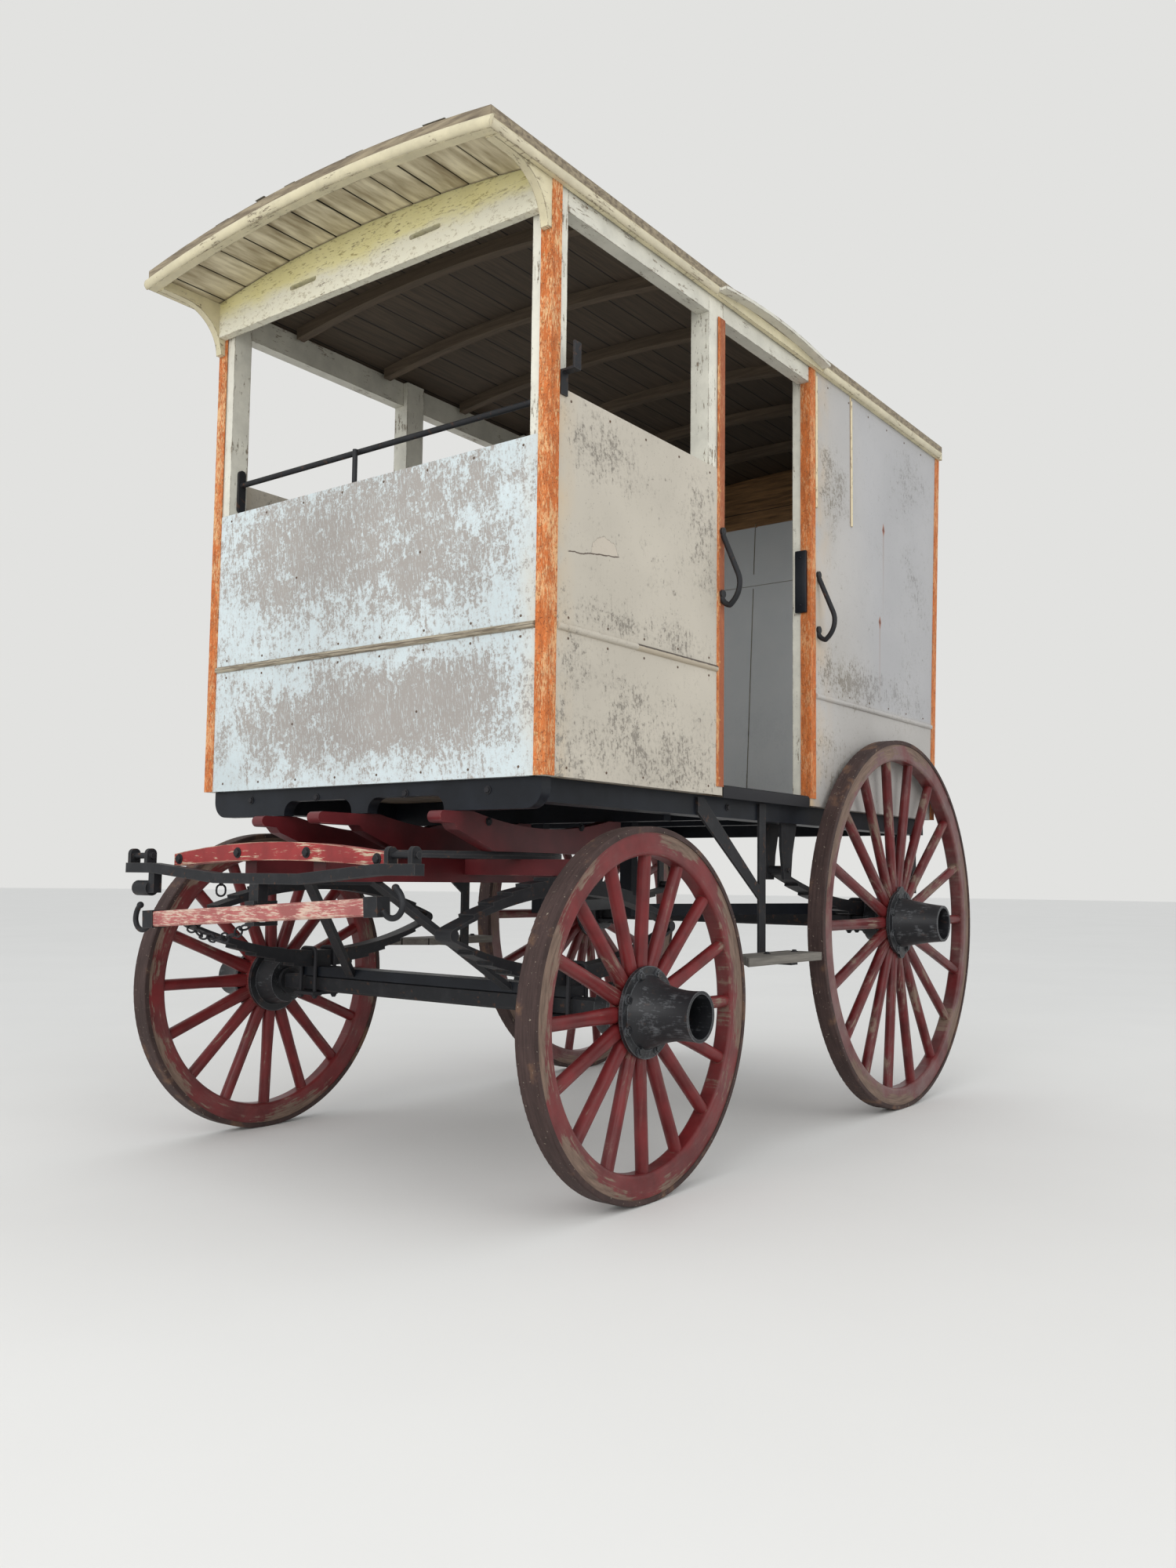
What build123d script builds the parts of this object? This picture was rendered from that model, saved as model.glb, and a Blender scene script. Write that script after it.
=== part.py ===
from build123d import *
import os
from math import asin, atan2, cos, degrees, hypot, radians, sin, sqrt, tan

# Horse-drawn delivery wagon with a panelled box body on a two-axle running gear.
# Millimetres. +X is the front of the wagon, +Y its left side, +Z up, z = 0 the ground.
# The origin stands on the ground in the middle of the wagon's overall length and width.

# Wheels
WHEELBASE = 1608.0
FRONT_WHEEL_RADIUS = 452.0
REAR_WHEEL_RADIUS = 635.0
FRONT_RIM_FACE = 741.0
REAR_RIM_FACE = 715.0
FRONT_SPOKES = 16
REAR_SPOKES = 18
TYRE_WIDTH = 56.0
TYRE_THICKNESS = 14.0
FELLOE_DEPTH = 57.0
FELLOE_INSET = 3.0
SPOKE_DIAMETER = 33.0
SPOKE_FOOT_WIDTH = 40.0
SPOKE_FOOT_DEPTH = 32.0
SPOKE_FOOT_REACH = 114.0
WHEEL_DISH = 14.0
TYRE_FIT = 0.1

# Hubs
FLANGE_RADIUS = 112.0
INNER_FLANGE_RADIUS = 98.0
FLANGE_THICKNESS = 10.0
FLANGE_SET_BACK = 12.0
SPOKE_SEAT_WIDTH = 38.0
HUB_CORE_RADIUS = 60.0
HUB_NOSE_LENGTH = 149.0
HUB_NOSE_END_RADIUS = 61.0
HUB_NOSE_WALL = 8.0
HUB_NOSE_DEPTH = 96.0
FRONT_NOSE_ROOT_RADIUS = 91.0
REAR_NOSE_ROOT_RADIUS = 86.0
FRONT_NOSE_FLARE = 12.0
REAR_NOSE_FLARE = 3.0
HUB_TAIL_LENGTH = 60.0
HUB_TAIL_RADIUS = 66.0
LOBE_RADIUS = 24.0
LOBE_REACH = 100.0

# Axles
ARM_RADIUS = 26.0
ARM_CLEARANCE = 0.05
ARM_COLLAR_RADIUS = 40.0
ARM_COLLAR_WIDTH = 10.0
END_PLAY = 1.0
AXLE_SECTION = 46.0
AXLE_NUT_ACROSS_FLATS = 62.0
AXLE_NUT_THICKNESS = 34.0
AXLE_NUT_GAP = 1.0
AXLE_BED_WIDTH = 60.0
AXLE_BED_HEIGHT = 28.0

# Leaf springs
LEAF_THICKNESS = 8.0
LEAF_WIDTH = 50.0
LEAF_COUNT = 6
FRONT_SPRING_Y = 478.0
FRONT_SPRING_HALF_LENGTH = 450.0
SPRING_EYE_RADIUS = 14.0
REAR_SPRING_Y = 548.0
REAR_SPRING_AHEAD = 618.0
REAR_SPRING_BEHIND = 402.0
REAR_SPRING_CAMBER = 95.0
SPRING_BOLT_RADIUS = 7.0

# Turntable and front gear
TURNTABLE_RADIUS = 336.0
TURNTABLE_WIDTH = 40.0
TURNTABLE_PLATE = 9.0
TURNTABLE_GAP = 0.3
KINGPIN_RADIUS = 14.0
KINGPIN_CLEARANCE = 0.05
KINGPIN_DROP = 70.0
BOLSTER_HALF_LENGTH = 510.0
BOLSTER_WIDTH = 80.0
FRAME_DEPTH = 42.0
DRAFT_RAIL_Y = 130.0
DRAFT_RAIL_WIDTH = 45.0
DRAFT_RAIL_BACK = 372.0
DRAFT_RAIL_BOTTOM_Z = 760.0
DRAFT_BAR_X = 549.0
DRAFT_BAR_HALF_LENGTH = 395.0
DRAFT_BAR_WIDTH = 42.0
DRAFT_BAR_HEIGHT = 45.0
DRAFT_BAR_END_HEIGHT = 31.0
DRAFT_BAR_TOP_Z = 855.0
DRAFT_BAR_END_TOP_Z = 826.0
RAIL_IRON_BACK = 150.0
RAIL_IRON_THICKNESS = 8.0
TRUSS_X = 604.0
TRUSS_HALF_LENGTH = 540.0
TRUSS_THICKNESS = 26.0
TRUSS_WIDTH = 30.0
TRUSS_FLAT_HALF = 158.0
TRUSS_END_FROM = 425.0
TRUSS_END_Z = 776.0
ROLLER_Y = 470.0
ROLLER_RADIUS = 20.0
ROLLER_LENGTH = 62.0
ROLLER_DROP = 40.0
ROLLER_BRACKET = 24.0
STAY_FOOT_Y = 300.0
STAY_HEAD_BACK = 190.0
STAY_WIDTH = 30.0
STAY_THICKNESS = 14.0
STAY_OVERRUN = 30.0
COUPLING_Y = 488.0
COUPLING_GAP = 62.0
COUPLING_EAR = 12.0
COUPLING_EAR_HEIGHT = 38.0
COUPLING_PIN_RADIUS = 8.0

# Singletree
TREE_X = 610.0
TREE_Z = 681.0
TREE_TILT = 3.5
TREE_HALF_LENGTH = 430.0
TREE_DEPTH = 40.0
TREE_CHAMFER = 4.0
TREE_THICKNESS = 34.0
TREE_PIN_RADIUS = 8.0
TREE_PIN_CLEARANCE = 0.05
CLEVIS_PLATE = 9.0
CLEVIS_GAP = 1.0
CLEVIS_SET_BACK = 24.0
CLEVIS_NOSE = 20.0
CLEVIS_WIDTH = 34.0
HOOK_WIRE_RADIUS = 7.0
HOOK_RADIUS = 30.0
TREE_SOCKET = 34.0
TREE_WALL = 3.0
TREE_CAP = 9.0

# Body
BODY_AHEAD = 305.0
BODY_BEHIND = 2058.0
REAR_LEAN = 88.0
BODY_HALF_WIDTH = 640.0
BODY_BOTTOM_Z = 1013.0
EAVE_Z = 2447.0
SKIN = 3.0
WALL = 30.0
POST = 60.0
BELT_Z = 1370.0
BELT_RADIUS = 9.0
STRIP_X = 1343.0
STRIP_BOTTOM_Z = 1989.0
STRIP_TOP_Z = 2429.0
STRIP_RADIUS = 6.0
FRONT_PANEL_TOP_Z = 1830.0
SIDE_PANEL_TOP_Z = 1948.0
DOOR_FRONT = 491.0
DOOR_BACK = 1036.0
DOOR_POST_WIDTH = 78.0
EAVE_RAIL_HEIGHT = 50.0
RAIL_INSET = 20.0
ANGLE_LEG = 36.0
ANGLE_THICKNESS = 3.0
FLOOR_THICKNESS = 24.0
HEADER_BOTTOM_Z = 2372.0
HEADER_THICKNESS = 24.0
SLOT_LENGTH = 110.0
SLOT_HEIGHT = 14.0
SLOT_Y = 238.0
SLOT_Z = 2432.0
REAR_RAIL_Z = 2028.0
REAR_RAIL_HEIGHT = 62.0
REAR_STILE_Y = 166.0
REAR_HEADER_Z = 2315.0
GROOVE_WIDTH = 12.0
GROOVE_DEPTH = 8.0

# Roof
ROOF_AHEAD = 548.0
ROOF_BEHIND = 2150.0
ROOF_HALF_WIDTH = 655.0
ROOF_RISE = 50.0
ROOF_SEAT_GAP = 0.3
ROOF_DECK = 20.0
ROOF_CANVAS = 3.0
ROOF_EDGE_DEPTH = 54.0
ROOF_EDGE_THICKNESS = 26.0
CORNICE_WIDTH = 14.0
BOW_COUNT = 6
BOW_WIDTH = 30.0
BOW_DEPTH = 34.0
BRACKET_THICKNESS = 24.0
BRACKET_REACH = 135.0
BRACKET_DROP = 122.0
BRACKET_FOOT = 14.0

# Underframe
SILL_WIDTH = 70.0
SILL_HEIGHT = 58.0
SILL_INSET = 40.0
CROSS_BOARD_THICKNESS = 34.0
CROSS_BOARD_HEIGHT = 75.0
CROSS_BOARD_HALF_LENGTH = 617.0
CROSS_BOARD_SET_BACK = 18.0
CROSS_BOARD_SCALLOP = 40.0
CROSS_BOARD_TOOTH = 62.0
CROSS_BOARD_END_RADIUS = 48.0
ROCKER_Y = 336.0
ROCKER_THICKNESS = 44.0
ROCKER_AHEAD = 354.0
ROCKER_CENTRE_EXTRA = 90.0
ROCKER_BACK = 395.0
ROCKER_DEPTH = 64.0
ROCKER_SAG = 97.0
ROCKER_NOSE_RADIUS = 15.0
ROCKER_NOSE_DROP = 17.0
ROCKER_END_DEPTH = 30.0
ROCKER_FLAT_BACK = 250.0
ROCKER_FLAT_FRONT = 150.0
ROCKER_SHOULDER = 55.0
ROCKER_CROSS_X = 378.0
BAR_CROSS_X = 690.0

# Steps
STEP_FRONT = 497.0
STEP_BACK = 940.0
STEP_INNER = 600.0
STEP_OUTER = 725.0
STEP_TOP_Z = 560.0
STEP_THICKNESS = 24.0
STEP_SWEEP_RADIUS = 876.0
HANGER_X = 783.0
HANGER_WIDTH = 38.0
HANGER_THICKNESS = 8.0
HANGER_TOP_DROP = 8.0
BRACE_X = 415.0
BRACE_JOIN_Z = 735.0
BRACE_WIDTH = 30.0

# Hand irons
RAIL_Z = 1930.0
RAIL_RADIUS = 8.0
RAIL_SET_BACK = 60.0
STANCHION_Y = -56.0
RAIL_PLATE_WIDTH = 26.0
RAIL_PLATE_HEIGHT = 130.0
RAIL_PLATE_THICKNESS = 8.0
HANDLE_RADIUS = 8.0
HANDLE_TOP_Z = 1768.0
HANDLE_BOTTOM_Z = 1587.0
HANDLE_REACH = 54.0
HANDLE_SAG = 34.0
HANDLE_INSET = 12.0
HANDLE_COLLAR = 4.0
HOOK_IRON_WIDTH = 26.0
HOOK_IRON_THICKNESS = 5.0
HOOK_IRON_REACH = 44.0
HOOK_IRON_BOTTOM_Z = 1930.0
HOOK_IRON_BEND_Z = 1990.0
HOOK_IRON_TOP_Z = 2052.0
VISOR_THICKNESS = 10.0
VISOR_REACH = 30.0
VISOR_RISE = 22.0
VISOR_LIFT = 10.0
VISOR_OVERLAP = 60.0

# Radius bars and spring hangers
BAR_HEIGHT = 38.0
BAR_THICKNESS = 22.0
BAR_FRONT_Y = 180.0
BAR_REAR_Y = 450.0
HANGER_CHEEK_GAP = 0.3
HANGER_IRON_LENGTH = 40.0
SHACKLE_THICKNESS = 10.0
SHACKLE_WIDTH = 36.0

# Places worked out from the sizes above
tree_front = TREE_X + TREE_THICKNESS / 2 + TREE_WALL
FRONT_X = (WHEELBASE + REAR_WHEEL_RADIUS - tree_front) / 2
REAR_X = FRONT_X - WHEELBASE
body_front = FRONT_X + BODY_AHEAD
body_back = FRONT_X - BODY_BEHIND
door_front = FRONT_X - DOOR_FRONT
door_back = FRONT_X - DOOR_BACK
frame_half_width = BODY_HALF_WIDTH - SKIN
seat_offset = FLANGE_SET_BACK + FLANGE_THICKNESS + SPOKE_SEAT_WIDTH / 2
hub_tail = FLANGE_SET_BACK + 2 * FLANGE_THICKNESS + SPOKE_SEAT_WIDTH + HUB_TAIL_LENGTH
bore_radius = ARM_RADIUS + ARM_CLEARANCE
cavity_floor = HUB_NOSE_LENGTH - FLANGE_SET_BACK - HUB_NOSE_DEPTH
board_bottom = BODY_BOTTOM_Z - CROSS_BOARD_HEIGHT
rocker_bottom = board_bottom - ROCKER_SAG
upper_plate_top = rocker_bottom
upper_plate_bottom = upper_plate_top - TURNTABLE_PLATE
lower_plate_top = upper_plate_bottom - TURNTABLE_GAP
frame_top = lower_plate_top - TURNTABLE_PLATE
frame_bottom = frame_top - FRAME_DEPTH
deck_top_edge = EAVE_Z + ROOF_EDGE_DEPTH - ROOF_CANVAS
deck_bottom_edge = deck_top_edge - ROOF_DECK
body_top = deck_bottom_edge - ROOF_SEAT_GAP
post_foot = BODY_BOTTOM_Z + FLOOR_THICKNESS

os.makedirs("parts", exist_ok=True)


def save(piece, node):
    """Label a finished piece and write it as its own file."""
    piece.label = node
    export_step(piece, f"parts/{node}.step")


def side_plane(y):
    """Upright plane along the wagon: sketch x is the wagon's X, sketch y its Z."""
    return Plane(origin=(0, y, 0), x_dir=(1, 0, 0), z_dir=(0, -1, 0))


def cross_plane(x):
    """Upright plane across the wagon: sketch x is the wagon's Y, sketch y its Z."""
    return Plane(origin=(x, 0, 0), x_dir=(0, 1, 0), z_dir=(1, 0, 0))


def block(x_range, y_range, z_range, mode=Mode.ADD):
    """A squared timber between two places on each axis."""
    (x0, x1), (y0, y1), (z0, z1) = x_range, y_range, z_range
    with Locations(((x0 + x1) / 2, (y0 + y1) / 2, (z0 + z1) / 2)):
        Box(abs(x1 - x0), abs(y1 - y0), abs(z1 - z0), mode=mode)


def half_round(radius):
    """Half-round moulding section that stands out towards the sketch's +x."""
    with BuildLine() as outline:
        ThreePointArc((0, -radius), (radius, 0), (0, radius))
        Line((0, radius), (0, -radius))
    make_face(outline.edges())


def arch(half_width, edge_z, rise, depth):
    """Face of an arched slab; its top passes edge_z at both sides and rises in the middle."""
    with BuildLine() as outline:
        ThreePointArc((-half_width, edge_z), (0, edge_z + rise), (half_width, edge_z))
        Line((half_width, edge_z), (half_width, edge_z - depth))
        ThreePointArc((half_width, edge_z - depth), (0, edge_z + rise - depth), (-half_width, edge_z - depth))
        Line((-half_width, edge_z - depth), (-half_width, edge_z))
    make_face(outline.edges())


def rear_face(z):
    """X of the rear face at a height: the rear end leans back towards the roof."""
    return body_back - REAR_LEAN * (z - BODY_BOTTOM_Z) / (EAVE_Z - BODY_BOTTOM_Z)


# Wheels, built lying flat with the outboard side up, z = 0 at the outboard face of the rim

def wheel_tyre(radius):
    """Iron tyre with edges worn round."""
    with BuildPart() as tyre:
        with BuildSketch(Plane.XZ) as section:
            with Locations((radius - TYRE_THICKNESS / 2, -TYRE_WIDTH / 2)):
                Rectangle(TYRE_THICKNESS, TYRE_WIDTH)
            fillet(section.vertices().group_by(Axis.X)[-1], 3.0)
        revolve(axis=Axis.Z)
    return tyre.part


def wheel_spoke(felloe_inner):
    """One spoke along +X: a deep narrow foot at the hub that turns into a round shank."""
    root = HUB_CORE_RADIUS + FLANGE_THICKNESS
    tip = felloe_inner + FELLOE_DEPTH / 3
    lean = atan2(WHEEL_DISH, tip - root)
    sections = [
        # distance from the hub's axis, width round the wheel, depth along the axle
        (root, SPOKE_FOOT_WIDTH - 4.0, SPOKE_FOOT_DEPTH),
        (SPOKE_FOOT_REACH, SPOKE_FOOT_WIDTH, SPOKE_FOOT_DEPTH - 3.0),
        (felloe_inner * 0.62, SPOKE_DIAMETER, SPOKE_DIAMETER),
        (tip, SPOKE_DIAMETER, SPOKE_DIAMETER),
    ]
    with BuildPart() as spoke:
        for distance, width, depth in sections:
            drop = -seat_offset + (distance - root) * tan(lean)
            with BuildSketch(Plane(origin=(distance, 0, drop), x_dir=(0, 1, 0), z_dir=(1, 0, 0))):
                RectangleRounded(width, depth, min(width, depth) / 2 - 0.6)
        loft(ruled=True)
    return spoke.part


def wheel_wood(radius, spokes):
    """Felloe ring, spokes and the ring of wedged spoke feet between the hub flanges."""
    outer = radius - TYRE_THICKNESS - TYRE_FIT
    inner = outer - FELLOE_DEPTH
    seat_half = SPOKE_SEAT_WIDTH / 2 - TYRE_FIT
    spoke = wheel_spoke(inner)
    with BuildPart() as wood:
        with BuildSketch(Plane.XZ) as section:
            with Locations(((outer + inner) / 2, -TYRE_WIDTH / 2)):
                Rectangle(FELLOE_DEPTH, TYRE_WIDTH - 2 * FELLOE_INSET)
            fillet(section.vertices().group_by(Axis.X)[0], 10.0)
        revolve(axis=Axis.Z)
        with BuildSketch(Plane.XZ):
            with Locations(((HUB_CORE_RADIUS + INNER_FLANGE_RADIUS) / 2, -seat_offset)):
                Rectangle(INNER_FLANGE_RADIUS - HUB_CORE_RADIUS - 2 * TYRE_FIT, 2 * seat_half)
        revolve(axis=Axis.Z)
        with PolarLocations(0, spokes):
            add(spoke)
    return wood.part


def wheel_hub(root_radius, flare, lobed):
    """Iron hub: two flanges that clamp the spoke feet, a hollow nose and a tapered tail."""
    face = -FLANGE_SET_BACK
    seat_out = face - FLANGE_THICKNESS
    seat_in = seat_out - SPOKE_SEAT_WIDTH
    back = seat_in - FLANGE_THICKNESS
    nose = HUB_NOSE_LENGTH + face
    nose_bore = HUB_NOSE_END_RADIUS - HUB_NOSE_WALL
    middle = ((root_radius + HUB_NOSE_END_RADIUS) / 2 - flare, (face + nose) / 2)
    with BuildPart() as hub:
        with BuildSketch(Plane.XZ):
            with BuildLine():
                Polyline(
                    (bore_radius, -hub_tail),
                    (HUB_TAIL_RADIUS, -hub_tail),
                    (HUB_TAIL_RADIUS + 12.0, back),
                    (INNER_FLANGE_RADIUS, back),
                    (INNER_FLANGE_RADIUS, seat_in),
                    (HUB_CORE_RADIUS, seat_in),
                    (HUB_CORE_RADIUS, seat_out),
                    (FLANGE_RADIUS, seat_out),
                    (FLANGE_RADIUS, face),
                    (root_radius, face),
                )
                ThreePointArc((root_radius, face), middle, (HUB_NOSE_END_RADIUS, nose))
                Polyline(
                    (HUB_NOSE_END_RADIUS, nose),
                    (nose_bore, nose),
                    (nose_bore, cavity_floor),
                    (bore_radius, cavity_floor),
                    (bore_radius, -hub_tail),
                )
            make_face()
        revolve(axis=Axis.Z)
        if lobed:
            with BuildSketch(Plane.XY.offset(seat_out)):
                for sign in (1, -1):
                    with Locations((0, sign * LOBE_REACH)):
                        Circle(LOBE_RADIUS)
            extrude(amount=FLANGE_THICKNESS)
    return hub.part


tyres = {"front": wheel_tyre(FRONT_WHEEL_RADIUS), "rear": wheel_tyre(REAR_WHEEL_RADIUS)}
woods = {
    "front": wheel_wood(FRONT_WHEEL_RADIUS, FRONT_SPOKES),
    "rear": wheel_wood(REAR_WHEEL_RADIUS, REAR_SPOKES),
}
hubs = {
    "front": wheel_hub(FRONT_NOSE_ROOT_RADIUS, FRONT_NOSE_FLARE, False),
    "rear": wheel_hub(REAR_NOSE_ROOT_RADIUS, REAR_NOSE_FLARE, True),
}
# end of the wagon, axle x, wheel radius, outboard face of the rim
axles = [
    ("front", FRONT_X, FRONT_WHEEL_RADIUS, FRONT_RIM_FACE),
    ("rear", REAR_X, REAR_WHEEL_RADIUS, REAR_RIM_FACE),
]
for end, axle_x, radius, rim_face in axles:
    for side, sign in (("left", 1), ("right", -1)):
        stand = Plane(origin=(axle_x, sign * rim_face, radius), x_dir=(1, 0, 0), z_dir=(0, sign, 0))
        save(tyres[end].moved(stand.location), f"{end}_{side}_tyre")
        save(woods[end].moved(stand.location), f"{end}_{side}_wheel")
        save(hubs[end].moved(stand.location), f"{end}_{side}_hub")


# Axles

def axle(axle_x, radius, rim_face):
    """Square axle with turned arms, collars and end nuts."""
    tail = rim_face - hub_tail - END_PLAY
    arm_end = rim_face + cavity_floor + AXLE_NUT_GAP
    with BuildPart() as piece:
        with BuildSketch(Plane(origin=(axle_x, 0, radius), x_dir=(1, 0, 0), z_dir=(0, 1, 0))):
            Rectangle(AXLE_SECTION, AXLE_SECTION)
            chamfer(vertices(), 5.0)
        extrude(amount=tail - ARM_COLLAR_WIDTH, both=True)
        for sign in (1, -1):
            outward = (0, sign, 0)
            collar = Plane(origin=(axle_x, sign * (tail - ARM_COLLAR_WIDTH), radius), z_dir=outward)
            with BuildSketch(collar):
                Circle(ARM_COLLAR_RADIUS)
            extrude(amount=ARM_COLLAR_WIDTH)
            with BuildSketch(Plane(origin=(axle_x, sign * tail, radius), z_dir=outward)):
                Circle(ARM_RADIUS)
            extrude(amount=arm_end - tail)
            with BuildSketch(Plane(origin=(axle_x, sign * arm_end, radius), z_dir=outward)):
                RegularPolygon(AXLE_NUT_ACROSS_FLATS / 2, 6, major_radius=False)
            extrude(amount=AXLE_NUT_THICKNESS)
    return piece.part


save(axle(FRONT_X, FRONT_WHEEL_RADIUS, FRONT_RIM_FACE), "front_axle")
save(axle(REAR_X, REAR_WHEEL_RADIUS, REAR_RIM_FACE), "rear_axle")

front_axle_top = FRONT_WHEEL_RADIUS + AXLE_SECTION / 2
rear_axle_top = REAR_WHEEL_RADIUS + AXLE_SECTION / 2
front_seat_z = front_axle_top + AXLE_BED_HEIGHT
with BuildPart() as axle_bed:
    block(
        (FRONT_X - AXLE_BED_WIDTH / 2, FRONT_X + AXLE_BED_WIDTH / 2),
        (-BOLSTER_HALF_LENGTH, BOLSTER_HALF_LENGTH),
        (front_axle_top, front_seat_z),
    )
save(axle_bed.part, "axle_bed")


# Leaf springs

def leaf_pack(centre_x, seat_z, behind, ahead, camber, bend):
    """Faces of a pack of leaves on its seat; bend 1 curls the ends up, -1 down."""
    main_radius = (ahead ** 2 + camber ** 2) / (2 * camber)
    centre_z = seat_z + bend * (LEAF_COUNT * LEAF_THICKNESS + main_radius)
    for leaf in range(LEAF_COUNT):
        share = 1.0 - leaf / (LEAF_COUNT + 0.6)
        start = -asin(behind * share / main_radius)
        finish = asin(ahead * share / main_radius)
        inner, outer = (
            [
                (centre_x + reach * sin(a), centre_z - bend * reach * cos(a))
                for a in (start, (start + finish) / 2, finish)
            ]
            for reach in (main_radius + leaf * LEAF_THICKNESS, main_radius + (leaf + 1) * LEAF_THICKNESS)
        )
        with BuildLine() as outline:
            ThreePointArc(*inner)
            Line(inner[2], outer[2])
            ThreePointArc(*outer)
            Line(outer[0], inner[0])
        make_face(outline.edges())


front_eye_z = (front_seat_z + frame_bottom) / 2
front_camber = front_eye_z - front_seat_z - LEAF_COUNT * LEAF_THICKNESS - SPRING_EYE_RADIUS / 2
with BuildPart() as front_springs:
    with BuildSketch(side_plane(FRONT_SPRING_Y)):
        for seat_z, bend in ((front_seat_z, 1), (frame_bottom, -1)):
            leaf_pack(FRONT_X, seat_z, FRONT_SPRING_HALF_LENGTH, FRONT_SPRING_HALF_LENGTH, front_camber, bend)
        for end_x in (FRONT_X - FRONT_SPRING_HALF_LENGTH, FRONT_X + FRONT_SPRING_HALF_LENGTH):
            with Locations((end_x, front_eye_z)):
                Circle(SPRING_EYE_RADIUS)
    extrude(amount=LEAF_WIDTH / 2, both=True)
    mirror(about=Plane.XZ)
save(front_springs.part, "front_springs")

rear_main_z = rear_axle_top + LEAF_COUNT * LEAF_THICKNESS
rear_bend_radius = (REAR_SPRING_AHEAD ** 2 + REAR_SPRING_CAMBER ** 2) / (2 * REAR_SPRING_CAMBER)
# x and z of the eyes at the front and the rear end of each rear spring
rear_eyes = [
    (
        REAR_X + along,
        rear_main_z + rear_bend_radius - sqrt(rear_bend_radius ** 2 - along ** 2) + SPRING_EYE_RADIUS / 2,
    )
    for along in (REAR_SPRING_AHEAD, -REAR_SPRING_BEHIND)
]
with BuildPart() as rear_springs:
    with BuildSketch(side_plane(REAR_SPRING_Y)):
        leaf_pack(REAR_X, rear_axle_top, REAR_SPRING_BEHIND, REAR_SPRING_AHEAD, REAR_SPRING_CAMBER, 1)
        for eye in rear_eyes:
            with Locations(eye):
                Circle(SPRING_EYE_RADIUS)
                Circle(SPRING_BOLT_RADIUS, mode=Mode.SUBTRACT)
    extrude(amount=LEAF_WIDTH / 2, both=True)
    mirror(about=Plane.XZ)
save(rear_springs.part, "rear_springs")


# Turntable: two iron rings, the upper one on the body, the lower one on the front gear

ring_outer = TURNTABLE_RADIUS + TURNTABLE_WIDTH / 2
ring_inner = TURNTABLE_RADIUS - TURNTABLE_WIDTH / 2
hole_radius = KINGPIN_RADIUS + KINGPIN_CLEARANCE

with BuildPart() as turntable_upper:
    with BuildSketch(Plane.XY.offset(upper_plate_bottom)):
        with Locations((FRONT_X, 0)):
            Circle(ring_outer)
            Circle(ring_inner, mode=Mode.SUBTRACT)
            Rectangle(2 * TURNTABLE_RADIUS, TURNTABLE_WIDTH)
    extrude(amount=TURNTABLE_PLATE)
    with BuildSketch(Plane.XY.offset(upper_plate_bottom)):
        with Locations((FRONT_X, 0)):
            Circle(KINGPIN_RADIUS)
    extrude(amount=-KINGPIN_DROP)
save(turntable_upper.part, "turntable_upper")

with BuildPart() as turntable_lower:
    with BuildSketch(Plane.XY.offset(frame_top)):
        with Locations((FRONT_X, 0)):
            Circle(ring_outer)
            Circle(ring_inner, mode=Mode.SUBTRACT)
    extrude(amount=TURNTABLE_PLATE)
save(turntable_lower.part, "turntable_lower")

with BuildPart() as front_bolster:
    with BuildSketch(Plane.XY.offset(frame_bottom)):
        with Locations((FRONT_X, 0)):
            Rectangle(BOLSTER_WIDTH, 2 * BOLSTER_HALF_LENGTH)
            Circle(hole_radius, mode=Mode.SUBTRACT)
    extrude(amount=FRAME_DEPTH)
save(front_bolster.part, "front_bolster")

draft_x = FRONT_X + DRAFT_BAR_X
draft_back = draft_x - DRAFT_BAR_WIDTH / 2
with BuildPart() as draft_rails:
    for sign in (1, -1):
        block(
            (FRONT_X - DRAFT_RAIL_BACK, draft_back),
            (sign * DRAFT_RAIL_Y - DRAFT_RAIL_WIDTH / 2, sign * DRAFT_RAIL_Y + DRAFT_RAIL_WIDTH / 2),
            (DRAFT_RAIL_BOTTOM_Z, frame_top),
        )
    block(
        (FRONT_X - BOLSTER_WIDTH / 2, FRONT_X + BOLSTER_WIDTH / 2),
        (-BOLSTER_HALF_LENGTH, BOLSTER_HALF_LENGTH),
        (frame_bottom, frame_top),
        mode=Mode.SUBTRACT,
    )
save(draft_rails.part, "draft_rails")

with BuildPart() as draft_bar:
    with BuildSketch(cross_plane(draft_x)):
        with BuildLine():
            end = DRAFT_BAR_HALF_LENGTH
            low = DRAFT_BAR_END_TOP_Z - DRAFT_BAR_END_HEIGHT
            ThreePointArc((-end, DRAFT_BAR_END_TOP_Z), (0, DRAFT_BAR_TOP_Z), (end, DRAFT_BAR_END_TOP_Z))
            Line((end, DRAFT_BAR_END_TOP_Z), (end, low))
            ThreePointArc((end, low), (0, DRAFT_BAR_TOP_Z - DRAFT_BAR_HEIGHT), (-end, low))
            Line((-end, low), (-end, DRAFT_BAR_END_TOP_Z))
        make_face()
    extrude(amount=DRAFT_BAR_WIDTH / 2, both=True)
save(draft_bar.part, "draft_bar")

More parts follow.
